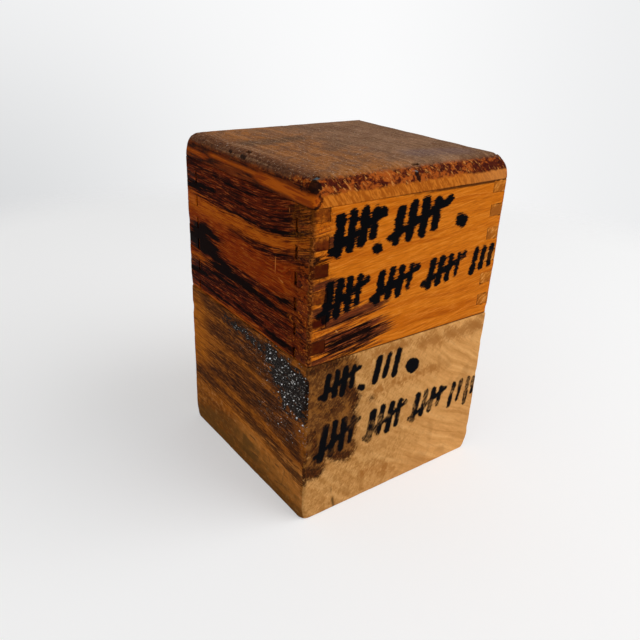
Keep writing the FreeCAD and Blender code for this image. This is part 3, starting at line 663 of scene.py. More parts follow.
def front_wall_finish():
    """Front and back walls: bright varnish with grain along X, brushed marks, and grubby finger ends."""
    finish = Finish("front wall varnish")
    colours = settings()
    colour, fibres, hairs = lid_wood(finish, 0)
    mottle = finish.cloud(0.8, 4)
    blobs = finish.cloud((0.3, 0.3, 0.5), 3)
    end_colour = finish.mix((126, 60, 18), (62, 22, 10), mottle.rises(0.42, 0.58))
    colour = colour.under(end_colour, on_left_or_right(finish) * finish.x.rises(-1, 1) * 0.5)
    colour = corner_grime(finish, colour, hairs)
    red = finish.field("red").frayed(mottle, 0.4).rises(-0.1, 0.2)
    red_colour = finish.mix((214, 140, 72), (196, 66, 14), finish.x.rises(-20, -16))
    colour = colour.under(red_colour, red * 0.65)
    joint = HALF_WIDTH_MM - SIDE_WALL_MM
    beyond = abs(finish.x).rises(joint - 0.15, joint + 0.05)
    edge = joint_edge(finish, row_is(finish, 1), mottle)
    fade = 1 - on_left_or_right(finish) * 0.7
    colour = colour.under((60, 24, 8), finger_lines(finish, 0, beyond).or_more(edge) * fade * 0.7)
    v = TOP_MM - finish.z
    # A dark line along the joint under the top board, on the right, and a line of painted shade along the
    # seam where the lid sits on the block.
    line_top = v.rises(7.3, 6.95) * finish.x.frayed(mottle, 40).rises(-12, 14)
    line = line_top.or_more(v.rises(44.2, 44.6)) * on_front_or_back(finish)
    colour = colour.under((46, 16, 6), line * 0.85)
    ragged = (hairs - 0.5) * 2.6 + (blobs - 0.5) * 1.6
    paint = (finish.field("paint") - ragged).rises(-0.12, 0.12)
    colour = colour.under(colours.paint, paint)
    colour = bare_wood(finish, colour, inside_box(finish) * 0.9, fibres, hairs)
    height = fibres * 0.08 + hairs * 0.04 + paint * 0.03
    return finish.finish_surface(colour, 0.5 + fibres * 0.2, height, 0.5, specular=0.02)


def side_wall_finish():
    """Left and right walls: grain along Y, end grain where their fingers come through the front, and
    painted shade in the gaps of their sockets.
    """
    finish = Finish("side wall varnish")
    colours = settings()
    colour, fibres, hairs = lid_wood(finish, 1)
    speckle = finish.cloud(1.2, 4, 0.6)
    blotches = finish.cloud((0.4, 0.4, 0.55), 3)
    slant = finish.slanted(0.77, 0.64)
    down = finish.slanted(0.64, -0.77)
    rays = finish.cloud(1, 4, 0.65, point=finish.joined(slant * 0.35, finish.y, down * 1.5))
    end = on_front_or_back(finish)
    right_side = finish.x.rises(-1, 1)
    right_ends = (
        finish.mix(colours.end_grain, (132, 70, 20), rays.rises(0.44, 0.56) * 0.9)
        .under((228, 164, 90), rays.rises(0.46, 0.34) * 0.85)
    )
    left_ends = (
        finish.mix((172, 92, 22), (104, 46, 12), blotches.rises(0.42, 0.56))
        .under((70, 30, 10), speckle.rises(0.5, 0.62) * 0.6)
    )
    ends = finish.mix(left_ends, right_ends, right_side)
    colour = colour.under(ends, end * (0.85 - right_side * 0.15))
    brown = finish.field("finger_brown").frayed(speckle, 3).rises(-0.4, 0.5)
    brown_colour = finish.mix((96, 38, 10), (150, 84, 28), right_side)
    colour = colour.under(brown_colour, brown * end * 0.8)
    darkest = finish.field("finger_dark").frayed(speckle, 1.5).rises(-0.3, 0.3)
    colour = colour.under((58, 11, 4), darkest * end * 0.92)
    colour = corner_grime(finish, colour, hairs)
    socket = HALF_DEPTH_MM - END_WALL_MM
    # Painted shade in the gaps of the sockets between the fingers: near black, weaker in the upper rows
    # and towards the back.
    socket_shade = abs(finish.y).frayed(speckle, 1).rises(socket - 1.05, socket - 0.75) * row_is(finish, 0)
    socket_shade = socket_shade * (TOP_MM - finish.z + speckle * 8).rises(14, 19).or_more(0.25)
    socket_shade = socket_shade * finish.y.rises(10, 0).or_more(0.3)
    beyond = abs(finish.y).rises(socket - 1.05, socket - 0.9)
    outline = finger_lines(finish, 0, beyond).or_more(joint_edge(finish, end, speckle))
    fade = 1 - on_left_or_right(finish) * 0.6
    colour = (
        colour.under((50, 20, 8), outline * fade * 0.75)
        .under((6, 2, 1), socket_shade * 0.95)
    )
    paint = (finish.field("paint") - (speckle - 0.5) * 2).rises(-0.15, 0.15) * end
    colour = colour.under(colours.paint, paint * 0.95)
    colour = bare_wood(finish, colour, inside_box(finish) * (1 - socket_shade) * 0.9, fibres, hairs)
    height = hairs * 0.08 + fibres * 0.06
    return finish.finish_surface(colour, 0.5 + fibres * 0.2, height, 0.5, specular=0.01)


def board_finish():
    """The lid's top: grimy and rough above, dark and scratched round its edge, and paler below."""
    finish = Finish("top board grime")
    colours = settings()
    fibres = finish.cloud((1.2, 0.08, 1.2), 4, 0.6)
    sway = finish.joined((finish.cloud((0.1, 0.04, 0.1), 1) - 0.5) * 5, 0, 0)
    lines = finish.cloud((1.3, 0.04, 0.6), 4, 0.65, point=finish.vector("ADD", finish.point, sway))
    grit = finish.cloud(1.3, 4, 0.75)
    fleck = finish.cloud(2.3, 2, 0.6)
    blotches = finish.cloud(0.09, 4)
    mottle = finish.cloud((0.34, 0.22, 0.34), 4, 0.65)
    v = TOP_MM - finish.z
    flat = finish.joined(finish.x, finish.y, 0)
    left = finish.x.rises(-28.6, -30.2)
    grey = left * finish.y.frayed(blotches, 20).rises(-24, -18)
    top = v.frayed(grit, 1.5).rises(1.3 + grey * 1.4, 0.4 + grey)
    colour = finish.mix(colours.grime, (112, 80, 56), blotches.rises(0.42, 0.6))
    warm = finish.x.frayed(blotches, 50).frayed(mottle, 24).rises(2, -15)
    colour = (
        colour.under((152, 92, 38), warm * 0.8)
        .under((104, 68, 46), mottle.rises(0.46, 0.58) * (0.45 + warm * 0.3))
    )
    smudge = finish.bar(flat, (-24, 8), (-9, 9), 3) + (grit - 0.5) * 6
    colour = colour.under((80, 58, 40), smudge.rises(-2.5, 2) * 0.75)
    purple = finish.bar(flat, (8, -19), (20, -22), 3.5) + (grit - 0.5) * 8
    colour = colour.under((108, 84, 78), purple.rises(-2.5, 2) * 0.7)
    rim = finish.x.frayed(mottle, 16).rises(-24, -30)
    colour = (
        colour.under((84, 50, 38), rim * 0.7)
        .veined(lines, ((82, 52, 34), 0.5, 0.62, 0.4), ((170, 128, 92), 0.46, 0.36, 0.4))
        .under((184, 146, 114), grit.rises(0.54, 0.68) * 0.6)
        .under((54, 30, 20), (grit - rim * 0.05).rises(0.44, 0.34) * 0.7)
        .under((226, 206, 184), fleck.rises(0.67, 0.74) * 0.8)
    )

    slant = finish.slanted(0.80, 0.60)
    down = finish.slanted(0.60, -0.80)
    hatched = finish.joined(slant * 1.7, finish.y * 0.8, down * 0.3)
    scratches = finish.cloud(1, 4, 0.7, point=hatched)
    patches = finish.cloud((0.5, 0.5, 0.8), 5, 0.65, distortion=0.4)
    edge = (
        finish.mix((158, 76, 22), (72, 22, 8), patches.frayed(blotches, 0.5).rises(0.43, 0.56))
        .under((34, 8, 4), grit.rises(0.53, 0.62) * 0.75)
        .veined(scratches, ((208, 138, 66), 0.56, 0.66, 0.75), ((60, 18, 8), 0.44, 0.34, 0.6))
    )
    colour = finish.mix(edge, colour, top)
    band = (v + (finish.cloud(0.5, 3) - 0.5) * 1.8).rises(3.5, 4.3)
    pale = (
        finish.mix((196, 112, 32), (160, 82, 16), scratches.rises(0.42, 0.56))
        .under((196, 126, 62), finish.x.rises(10, 28) * 0.6)
    )
    right = finish.x.rises(29.6, 30.4) * band
    colour = (
        colour.under(pale, band * (1 - finish.x.rises(-29, -30)))
        .under(finish.mix((196, 116, 44), (116, 58, 18), fibres.rises(0.46, 0.6)), right * 0.8)
    )
    foot = v.rises(6.3, 6.6) * on_front_or_back(finish) * finish.x.frayed(patches, 50).rises(-30, 14)
    colour = colour.under((64, 26, 8), foot * 0.85)
    side_edge = (
        finish.mix((108, 44, 10), (34, 9, 4), fibres.rises(0.44, 0.56))
        .under((150, 78, 22), fibres.rises(0.42, 0.32) * 0.7)
    )
    colour = colour.under(side_edge, left * v.rises(1.8, 2.8) * 0.92)
    strip = finish.field("strip").frayed(fibres, 2.6)
    bright = finish.mix((188, 90, 14), (146, 60, 10), fibres.rises(0.48, 0.58))
    colour = colour.under(bright, strip.rises(-0.4, 0.4) * 0.9)
    # Near-black spots on the edge: painted shade in the nail holes, and dark gouges and blots beside them.
    notch = finish.field("notch").frayed(grit, 1.6).rises(-0.2, 0.2)
    colour = colour.under((22, 8, 5), notch * 0.92)
    # The grey fleck at the middle of the front edge is a painted glint of a nail head; the one near the
    # left corner is a blue fleck.
    spot = finish.field("fleck").frayed(grit, 0.6).rises(-0.05, 0.15)
    glint_and_blue_fleck = finish.mix((56, 84, 94), (120, 116, 112), finish.x.rises(-20, -18))
    colour = colour.under(glint_and_blue_fleck, spot * 0.8)
    colour = bare_wood(finish, colour, inside_box(finish) * v.rises(5.5, 6.2), lines, fibres)
    height = grit * 0.3 * top + lines * 0.25 * top + fibres * 0.08 + scratches * 0.14 * (1 - top)
    return finish.finish_surface(colour, 0.7 + grit * 0.1, height, 0.8, specular=0.03)


def block_grain(finish):
    """The block's growth rings, square to the front and long at the sides, and its fine fibres."""
    wander = finish.cloud((0.07, 0.02, 0.07), 3)
    across = finish.joined(finish.x - 79, 0, finish.z - 121)
    radius = finish.vector("LENGTH", across) + (wander - 0.5) * 4
    slant = finish.slanted(0.78, -0.62)
    down = finish.slanted(0.62, 0.78)
    ringed = finish.joined(radius * 0.48, slant * 0.025, finish.y * 0.03)
    rings = finish.cloud(1, 4, 0.6, point=ringed)
    fibres = finish.cloud((0.9, 0.05, 0.9), 5, 0.7)
    hairs = finish.cloud((2.6, 0.2, 2.6), 3, 0.7)
    felted = finish.joined(slant * 0.22, finish.y * 0.05, down * 1.5)
    fuzz = finish.cloud(1, 5, 0.7, point=felted)
    rising = finish.joined(slant * 2, finish.y * 0.2, down * 0.7)
    cross = finish.cloud(1, 5, 0.75, point=rising)
    return rings, fibres, hairs, fuzz, cross


def glints(finish, density, rarity, size, ragged):
    """Painted highlights: bright specks of uneven size, at most one to a cell, on the left and right
    sides.
    """
    slanted = finish.z + finish.y * 0.5
    cells = finish.joined(finish.y * density * 0.8, slanted * density * 1.3, 0)
    sockets = {"Vector": cells, "Scale": 1, "Randomness": 1}
    distance, chance = finish.node("ShaderNodeTexVoronoi", {"voronoi_dimensions": "2D"}, sockets)[:2]
    chance = finish.node("ShaderNodeSeparateColor", {}, {0: chance})[0]
    reach = (chance + finish.field("specks") * 0.05 - rarity) * size
    return (reach - distance + (ragged - 0.5) * 0.5).rises(0, 0.08)


def block_finish():
    """The block: pale end grain in front, long grain at the sides, stains, tar with painted glints, and
    brush marks.
    """
    finish = Finish("block wood")
    colours = settings()
    rings, fibres, hairs, fuzz, cross = block_grain(finish)
    blotches = finish.cloud((0.13, 0.03, 0.13), 4)
    mottle = finish.cloud((0.4, 0.06, 0.4), 4, 0.6)
    speckle = finish.cloud((1.2, 0.5, 1.2), 4, 0.75)
    patchy = finish.cloud(0.35, 3) - 0.5
    v = TOP_MM - finish.z
    end = on_front_or_back(finish)

    right = finish.x.frayed(blotches, 40).frayed(mottle, 20).rises(-16, 22)
    end_colour = (
        finish.mix(colours.block_end, (216, 156, 90), right * 0.75)
        .veined(
            rings,
            ((164, 106, 46), 0.44, 0.66, 0.25 + right * 0.25),
            ((230, 180, 116), 0.48, 0.32, 0.2 + right * 0.2),
        )
        .veined(fuzz, ((158, 102, 46), 0.5, 0.66, 0.3), ((226, 174, 110), 0.46, 0.32, 0.25))
        .veined(
            cross,
            ((138, 88, 38), 0.5, 0.64, 0.65 - right * 0.5),
            ((228, 178, 112), 0.46, 0.34, 0.55 - right * 0.4),
        )
        .under((146, 96, 42), mottle.rises(0.48, 0.62) * (1 - right) * 0.55)
        .under((150, 100, 48), blotches.rises(0.52, 0.66) * 0.35)
    )

    side_colour = (
        finish.mix(colours.block_side, (140, 74, 12), blotches.rises(0.42, 0.62) * 0.7)
        .under((108, 52, 8), rings.rises(0.5, 0.62) * 0.45)
        .veined(fibres, ((192, 118, 44), 0.53, 0.68, 0.5), ((88, 40, 8), 0.46, 0.34, 0.6))
        .veined(hairs, ((96, 46, 10), 0.52, 0.64, 0.35), ((206, 136, 62), 0.46, 0.34, 0.3))
    )
    rub = finish.cloud((0.9, 0.5, 0.9), 4, 0.7)
    low = v.rises(73, 78)
    side_colour = side_colour.under((90, 52, 14), rub.rises(0.5, 0.62) * (0.25 + low * 0.35))
    side_colour = side_colour.under((204, 144, 82), rub.rises(0.46, 0.34) * low * 0.55)
    left = finish.x.rises(1, -1)
    smoky = finish.y.rises(22, 4) * v.frayed(mottle, 20).rises(75, 68) * left
    crumbly = (rub * 0.6 + hairs * 0.4).rises(0.46, 0.54)
    side_colour = side_colour.under(finish.mix((150, 84, 26), (34, 14, 6), crumbly), smoky * 0.55)
    sunny = v.rises(73, 76.5) * v.frayed(mottle, 12).rises(88, 84) * finish.y.rises(10, -2)
    side_colour = side_colour.under((206, 134, 62), sunny * left * 0.4)
    grubby = (v + (mottle - 0.5) * 16 + patchy * 14).rises(78, 91)
    side_colour = side_colour.under((104, 70, 26), grubby * 0.75)
    colour = finish.mix(side_colour, end_colour, end)

    rough = (cross - 0.5) * end + (fibres - 0.5) * (1 - end)
    fine = (speckle - 0.5) * 3 + (hairs - 0.5) * (1 - end) * 8 + (fibres - 0.5) * (1 - end) * 6
    shade = (finish.field("shade") + rough * 6 + (mottle - 0.5) * 8).rises(-0.5, 2.6)
    shade = shade * (0.7 - finish.y.rises(0, 1) * 0.35)
    colour = colour.under(finish.mix((92, 62, 22), (150, 92, 36), end), shade)
    stain = (finish.field("stain") + rough * 4 + (speckle - 0.5) * 2).rises(-0.8, 0.8)
    stain_colour = (
        finish.mix((120, 70, 20), (74, 36, 8), (cross * 0.5 + mottle * 0.5).rises(0.45, 0.53))
        .under((156, 102, 46), speckle.rises(0.55, 0.66) * 0.6)
        .under((44, 20, 6), cross.rises(0.56, 0.66) * 0.7)
    )
    colour = colour.under(stain_colour, stain * 0.9)
    dark = (finish.field("dark") + (1 - end) * 0.9 + rough * 5 + fine).rises(-1.2, 1)
    dark_colour = (
        finish.mix((72, 33, 8), (24, 9, 4), (speckle * 0.5 + hairs * 0.5).rises(0.45, 0.55))
        .under((140, 76, 26), (hairs * (1 - end) + cross * end).rises(0.44, 0.36) * 0.7)
    )
    colour = colour.under(dark_colour, dark * (0.82 + end * 0.06))
    clean = finish.field("clean").frayed(fibres, 6).frayed(hairs, 3).rises(-1.2, 2)
    light_grain = (fibres * 0.5 + hairs * 0.5).rises(0.44, 0.56)
    clean_colour = finish.mix((210, 122, 26), (158, 84, 12), light_grain)
    colour = colour.under(clean_colour, clean * 0.55)
    tar = (finish.field("tar") + (speckle - 0.5) * 6 + (rub - 0.5) * 5 + patchy * 4).rises(-0.4, 0.6)
    colour = colour.under(colours.tar, tar * 0.97)
    # Grey specks over the tar and below it: painted glints on the tar, and the wood's own pale specks
    # below it.
    near = finish.field("specks")
    dust_and_glints = finish.cloud((2.6, 1.9, 3.2), 2, 0.5) + near * 0.01 + patchy * 0.2
    colour = colour.under((126, 112, 98), dust_and_glints.rises(0.58, 0.66) * near.rises(-5, 0.5) * 0.2)
    # Bright and white specks on the tar: painted glints.
    crust = finish.cloud((2.1, 1.6, 2.8), 2, 0.5, distortion=0.3) + near * 0.008 + patchy * 0.25
    crust = crust.rises(0.685, 0.715) * near.rises(-4, 0) * (0.35 + tar * 0.65)
    colour = colour.under((236, 234, 230), crust)
    white = glints(finish, 0.9, 0.9, 1.1, speckle)
    colour = colour.under((250, 252, 255), white * near.rises(-3, 0))
    nicks = finish.field("nicks").rises(-0.2, 0.15)
    colour = colour.under((66, 46, 22), nicks * 0.7)
    ragged = (cross - 0.5) * 1.6 + (mottle - 0.5) * 1.2
    paint = (finish.field("paint") - ragged).rises(-0.22, 0.18)
    dry = 1 - finish.cloud(0.16, 2).rises(0.5, 0.6) * cross.rises(0.44, 0.6) * v.rises(58, 62) * 0.6
    colour = colour.under(colours.paint, paint * dry)
    turned = finish.cloud((0.1, 0.1, 2.4), 3) * 0.5 + rings * 0.5
    colour = bare_wood(finish, colour, inside_box(finish) * 0.9, turned, hairs)
    height = (fuzz + cross) * 0.08 * end + (fibres + hairs) * 0.1 * (1 - end) + speckle * tar * 0.8
    return finish.finish_surface(colour, 0.7 - tar * 0.25, height, 0.7, specular=0.03)


def brass_finish(name):
    """Aged brass: brown in the low places, brighter where it rubs, and a painted line of shade round each
    screw head.
    """
    finish = Finish(name)
    colours = settings()
    tarnish = finish.cloud(0.35, 5, 0.6)
    spots = finish.cloud(2.6, 3)
    brushed = finish.cloud((0.5, 5, 5), 3)
    colour = (
        finish.mix(colours.brass, (124, 88, 40), tarnish.rises(0.36, 0.68) * 0.8)
        .under((206, 166, 92), brushed.rises(0.52, 0.7) * 0.35)
        .under((70, 52, 28), spots.rises(0.6, 0.7) * 0.55)
        .under((92, 100, 66), (tarnish + spots * 0.4).rises(0.8, 0.9) * 0.5)
    )
    flat = finish.joined(finish.x, finish.z, 0)
    round_heads = OUTSIDE_MM
    for screw in sorted(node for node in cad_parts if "_screw_" in node):
        low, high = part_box(screw)
        middle = ((low.x + high.x) / 2 / MM, (low.z + high.z) / 2 / MM)
        depth = finish.bar(flat, middle, (middle[0] + 0.01, middle[1]), (high.x - low.x) / 2 / MM)
        round_heads = depth.or_more(round_heads)
    # A painted line of shade round each flush screw head, where the gap would be.
    rim = abs(round_heads).rises(0.16, 0.02) * finish.y.rises(HALF_DEPTH_MM - 0.4, HALF_DEPTH_MM)
    colour = colour.under((36, 24, 12), rim * 0.85)
    roughness = 0.32 + tarnish * 0.25 + spots * 0.1
    return finish.finish_surface(colour, roughness, spots * 0.04 + brushed * 0.02, 0.5, metallic=1)


def steel_finish():
    """Nail heads: dark steel with rust."""
    finish = Finish("nail steel")
    colours = settings()
    rust = finish.cloud(1.6, 4)
    colour = finish.mix(colours.steel, (92, 46, 22), rust.rises(0.42, 0.6))
    roughness = 0.5 + rust * 0.3
    return finish.finish_surface(colour, roughness, rust * 0.1, 0.6, metallic=0.6)


# Modelling

ON_FACE_MM = 0.001


def along(axis, length=1):
    """A vector along one axis."""
    step = Vector((0, 0, 0))
    step[axis] = length
    return step


def start_cuboid(name, low, high):
    """A cuboid between two corners, in edit mode, where the next tools shape it."""
    bpy.ops.object.select_all(action="DESELECT")
    bpy.ops.mesh.primitive_cube_add(size=1, location=(low + high) / 2, scale=high - low)
    bpy.ops.object.transform_apply(location=True, rotation=False, scale=True)
    piece = bpy.context.object
    piece.name = name
    piece.data.name = name
    bpy.ops.object.mode_set(mode="EDIT")
    return piece


def pick(piece, kind, test):
    """In edit mode, selects the piece's faces or edges that pass the test."""
    bpy.ops.mesh.select_mode(type=kind)
    bpy.ops.mesh.select_all(action="DESELECT")
    mesh = bmesh.from_edit_mesh(piece.data)
    for part in mesh.faces if kind == "FACE" else mesh.edges:
        if test(part):
            part.select_set(True)
    mesh.select_flush_mode()
    bmesh.update_edit_mesh(piece.data)


def cut_at(axis, places):
    """Cuts the whole piece square to an axis at each place along it."""
    for place in places:
        bpy.ops.mesh.select_all(action="SELECT")
        bpy.ops.mesh.bisect(plane_co=along(axis, place), plane_no=along(axis))


def edge_axis(edge):
    """The axis that an edge runs along."""
    span = edge.verts[1].co - edge.verts[0].co
    return max(range(3), key=lambda i: abs(span[i]))


def work_into_cells(piece, cell):
    """Cuts every edge of a square-cornered piece into cells of about one size, and leaves edit mode."""
    for axis in range(3):
        edges = bmesh.from_edit_mesh(piece.data).edges
        lengths = {round(edge.calc_length() / MM, 3) for edge in edges if edge_axis(edge) == axis}
        for length in sorted(lengths):
            cuts = round(length / cell) - 1
            if cuts > 0:
                pick(
                    piece, "EDGE",
                    lambda e: edge_axis(e) == axis and abs(e.calc_length() / MM - length) < 0.002,
                )
                bpy.ops.mesh.subdivide(number_cuts=cuts)
    bpy.ops.object.mode_set(mode="OBJECT")


def end_fingers(piece, axis, core, reach):
    """Draws every other row of both ends of a wall out into fingers. Walls along X start at the seam."""
    for side in (-1, 1):
        def in_row(face):
            middle = face.calc_center_median()
            row = math.floor((middle.z / MM - SEAM_MM) / FINGER_MM)
            return abs(middle[axis] - side * core) < 1e-6 and row % 2 == axis

        pick(piece, "FACE", in_row)
        bpy.ops.mesh.extrude_region_move(TRANSFORM_OT_translate={"value": along(axis, side * reach)})


def rounded(a, b, limit_a, limit_b, radius):
    """Carries a place near the square corner at (limit_a, limit_b) onto a round one."""
    over_a = a - (limit_a - radius)
    over_b = b - (limit_b - radius)
    if radius <= 0 or over_a <= 0 or over_b <= 0:
        return a, b
    shrink = max(over_a, over_b) / math.hypot(over_a, over_b)
    return limit_a - radius + over_a * shrink, limit_b - radius + over_b * shrink


def ease(value, low, high):
    """0 at low, 1 at high and smooth between them."""
    share = min(max((value - low) / (high - low), 0.0), 1.0)
    return share * share * (3 - 2 * share)


def wobble(x, y, z, length, seed):
    """Smooth noise from -1 to 1 with blotches of about one length, all in millimetres."""
    return noise.noise(Vector((x / length + seed, y / length, z / length)))


def ripple(x, y, z, length, seed):
    """The same noise from 0 to 1."""
    return 0.5 + 0.5 * wobble(x, y, z, length, seed)


def chip(x, y, z, seed):
    """Now and then a larger bite out of an edge."""
    return max(0.0, wobble(x, y, z, 4.5, seed) - 0.25) * 2


def wear_faces(x, y, z, waviness):
    """Lets the outside faces dip a little below flat."""
    dip = waviness * ripple(x, y, z, 9, 3) + 0.03 * ripple(x, y, z, 1.3, 8)
    if abs(x) > HALF_WIDTH_MM - ON_FACE_MM:
        x = math.copysign(HALF_WIDTH_MM - dip, x)
    if abs(y) > HALF_DEPTH_MM - ON_FACE_MM:
        y = math.copysign(HALF_DEPTH_MM - dip, y)
    return x, y, z


def worn_upright(x, y, z, radius):
    """Rounds the four upright edges of the box."""
    radius = radius * (1 + 0.5 * wobble(x, y, z, 9, 1)) + chip(x, y, z, 21)
    a, b = rounded(abs(x), abs(y), HALF_WIDTH_MM, HALF_DEPTH_MM, radius)
    return math.copysign(a, x), math.copysign(b, y)


def way_out(x, y, corner):
    """How deep a place lies inside the box's rounded outline from above, and the nearest way out."""
    over_x = abs(x) - (HALF_WIDTH_MM - corner)
    over_y = abs(y) - (HALF_DEPTH_MM - corner)
    if over_x > 0 and over_y > 0:
        length = math.hypot(over_x, over_y)
        return corner - length, math.copysign(over_x / length, x), math.copysign(over_y / length, y)
    if over_x > over_y:
        return corner - over_x, math.copysign(1, x), 0.0
    return corner - over_y, 0.0, math.copysign(1, y)


def worn_level(x, y, z, corner, level, upwards, radii, uneven=0.35):
    """Rounds the four edges at a level: radii for the left, right, front and back."""
    left, right, front, back = radii
    depth, out_x, out_y = way_out(x, y, corner)
    radius = out_x ** 2 * (left if x < 0 else right) + out_y ** 2 * (front if y < 0 else back)
    radius = radius * (1 + uneven * wobble(x, y, z, 8, 5)) + chip(x, y, z, 33) * uneven
    moved, height = rounded(-depth, (z - level) * upwards, 0, 0, radius)
    shift = moved + depth
    return x + out_x * shift, y + out_y * shift, level + height * upwards


def wear(piece, sizes, corner_at, levels, sink=None):
    """Moves every point as the wear says: on the faces, at the upright edges, then at the level ones."""
    for vertex in piece.data.vertices:
        x, y, z = wear_faces(*(c / MM for c in vertex.co), sizes["waviness"])
        if sink:
            x, y, z = sink(x, y, z)
        corner = sizes["arris_round"] + corner_at(z)
        x, y = worn_upright(x, y, z, corner)
        for level in levels:
            x, y, z = worn_level(x, y, z, corner, *level)
        vertex.co = Vector((x, y, z)) * MM
    piece.data.update()


def apply_modifier(piece, kind, **facts):
    modifier = piece.modifiers.new(kind.lower(), kind)
    for name, fact in facts.items():
        setattr(modifier, name, fact)
    bpy.context.view_layer.objects.active = piece
    bpy.ops.object.modifier_apply(modifier=modifier.name)


def finish_piece(piece, material, body, node, fields, reach=0.9):
    """Eases the piece's own sharp edges, lays out its marks, and ties it to what it stands for."""
    width, sharp, smooth = 0.14 * MM, math.radians(55), math.radians(40)
    apply_modifier(piece, "BEVEL", width=width, segments=2, limit_method="ANGLE", angle_limit=sharp)
    bpy.ops.object.select_all(action="DESELECT")
    piece.select_set(True)
    bpy.context.view_layer.objects.active = piece
    bpy.ops.object.shade_smooth_by_angle(angle=smooth)
    for name, groups in fields.items():
        lay_out(piece, name, groups, reach)
    piece.data.materials.clear()
    piece.data.materials.append(material)
    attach(piece, body)
    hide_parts(node)


def millimetre_settings():
    """The sizes of the panel, in millimetres."""
    shape = bpy.context.scene.storage_box_shape
    return {name: getattr(shape, name) / MM for name in StorageBoxShape.__annotations__}


class STORAGEBOX_OT_block(bpy.types.Operator):
    """Make the solid block with its bored well"""
    bl_idname = "storage_box.block"
    bl_label = "Block"

    def execute(self, context):
        sizes = millimetre_settings()
        piece = start_cuboid("worn_block", BLOCK_LOW, BLOCK_HIGH)
        work_into_cells(piece, sizes["cell"])
        self.bore_well(piece, sizes["well_diameter"] / 2, SEAM_MM - sizes["well_depth"])
        foot, worn_foot = sizes["foot_round"], sizes["worn_foot_round"]
        levels = [
            (0, -1, (foot, worn_foot, foot, worn_foot), 0.12),
            (SEAM_MM, 1, (0.9, 0.45, 0.45, 0.6)),
        ]
        flare, flare_height = 1.8, 5
        wear(piece, sizes, lambda z: flare * ease(z, flare_height, 0), levels)
        fields = {
            "paint": [("front", 1, 0, BLOCK_MARKS)],
            "stain": BLOCK_STAIN,
            "dark": BLOCK_DARK,
            "tar": BLOCK_TAR,
            "specks": BLOCK_SPECKS,
            "shade": BLOCK_SHADE,
            "nicks": BLOCK_NICKS,
            "clean": BLOCK_CLEAN,
        }
        finish_piece(piece, block_finish(), "base", "base_block", fields)
        return {"FINISHED"}

    def bore_well(self, piece, radius, floor):
        """Cuts the well with a turned shape: mouth, wall, flat floor and the mark of the bit's point."""
        mouth, above = 0.8, 2
        point, point_depth = 1.6, 1.8
        across, down, around = 8, 20, 112
        rim = radius + mouth
        outline = [(0, floor - point_depth), (point, floor)]
        outline += [(point + (radius - point) * i / across, floor) for i in range(1, across + 1)]
        outline += [(radius, floor + (SEAM_MM - mouth - floor) * i / down) for i in range(1, down + 1)]
        outline += [(rim, SEAM_MM), (rim + above, SEAM_MM + above), (0, SEAM_MM + above)]
        bpy.ops.object.select_all(action="DESELECT")
        bpy.ops.mesh.primitive_plane_add(size=1)
        cutter = bpy.context.object
        bpy.ops.object.mode_set(mode="EDIT")
        bpy.ops.mesh.delete(type="VERT")
        mesh = bmesh.from_edit_mesh(cutter.data)
        points = [mesh.verts.new((r * MM, 0, h * MM)) for r, h in outline]
        for first, second in zip(points, points[1:]):
            mesh.edges.new((first, second))
        bmesh.update_edit_mesh(cutter.data)
        bpy.ops.mesh.select_all(action="SELECT")
        bpy.ops.mesh.spin(steps=around, angle=2 * math.pi, center=(0, 0, 0), axis=(0, 0, 1))
        bpy.ops.mesh.select_all(action="SELECT")
        bpy.ops.mesh.remove_doubles(threshold=1e-6)
        bpy.ops.mesh.normals_make_consistent(inside=False)
        bpy.ops.object.mode_set(mode="OBJECT")
        apply_modifier(piece, "BOOLEAN", operation="DIFFERENCE", object=cutter, solver="EXACT")
        bpy.data.objects.remove(cutter)


def make_wall(side, axis, core, material):
    """One wall of the lid along an axis, with the fingers of its box joints."""
    sizes = millimetre_settings()
    node = f"lid_{side}_wall"
    half = (HALF_WIDTH_MM, HALF_DEPTH_MM)[axis]
    low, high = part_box(node)
    reach = high[axis] - core
    low[axis], high[axis] = -core, core
    end, flare, flare_height = 0.3, 0.3, 4
    piece = start_cuboid(f"worn_{side}_wall", low, high)
    cut_at(2, [(SEAM_MM + row * FINGER_MM) * MM for row in range(1, FINGER_COUNT)])
    end_fingers(piece, axis, core, reach)
    work_into_cells(piece, sizes["cell"])

    def sink(x, y, z):
        """Lets each finger end lie a little deeper or less deep than the next."""
        place = [x, y, z]
        if abs(place[axis]) > half - end:
            row = math.floor((z - SEAM_MM) / FINGER_MM)
            finger = Vector((row * 3.7, axis * 9.1, math.copysign(4, x) + math.copysign(2, y)))
            place[axis] -= math.copysign(0.05 + 0.05 * noise.noise(finger), place[axis])
        return place

    levels = [(SEAM_MM, -1, (0.8, 0.9, 0.4, 0.5))]
    wear(piece, sizes, lambda z: flare * ease(z, SEAM_MM + flare_height, SEAM_MM), levels, sink)
    fields = {
        "paint": [("front", 1, 0, LID_MARKS)],
        "streaked": LID_STREAKED,
        "black": LID_BLACK,
        "clean": LID_CLEAN,
        "scratches": LID_SCRATCHES,
        "red": LID_RED,
        "finger_dark": FINGER_DARK,
        "finger_brown": FINGER_BROWN,
    }
    finish_piece(piece, material, "lid", node, fields)


class STORAGEBOX_OT_end_walls(bpy.types.Operator):
    """Make the lid's front and back walls"""
    bl_idname = "storage_box.end_walls"
    bl_label = "Front and back walls"

    def execute(self, context):
        material = front_wall_finish()
        for side in ("front", "back"):
            make_wall(side, 0, (HALF_WIDTH_MM - SIDE_WALL_MM) * MM, material)
        return {"FINISHED"}


class STORAGEBOX_OT_side_walls(bpy.types.Operator):
    """Make the lid's left and right walls"""
    bl_idname = "storage_box.side_walls"
    bl_label = "Left and right walls"

    def execute(self, context):
        material = side_wall_finish()
        for side in ("left", "right"):
            make_wall(side, 1, (HALF_DEPTH_MM - END_WALL_MM - SOCKET_OVERCUT_MM) * MM, material)
        return {"FINISHED"}


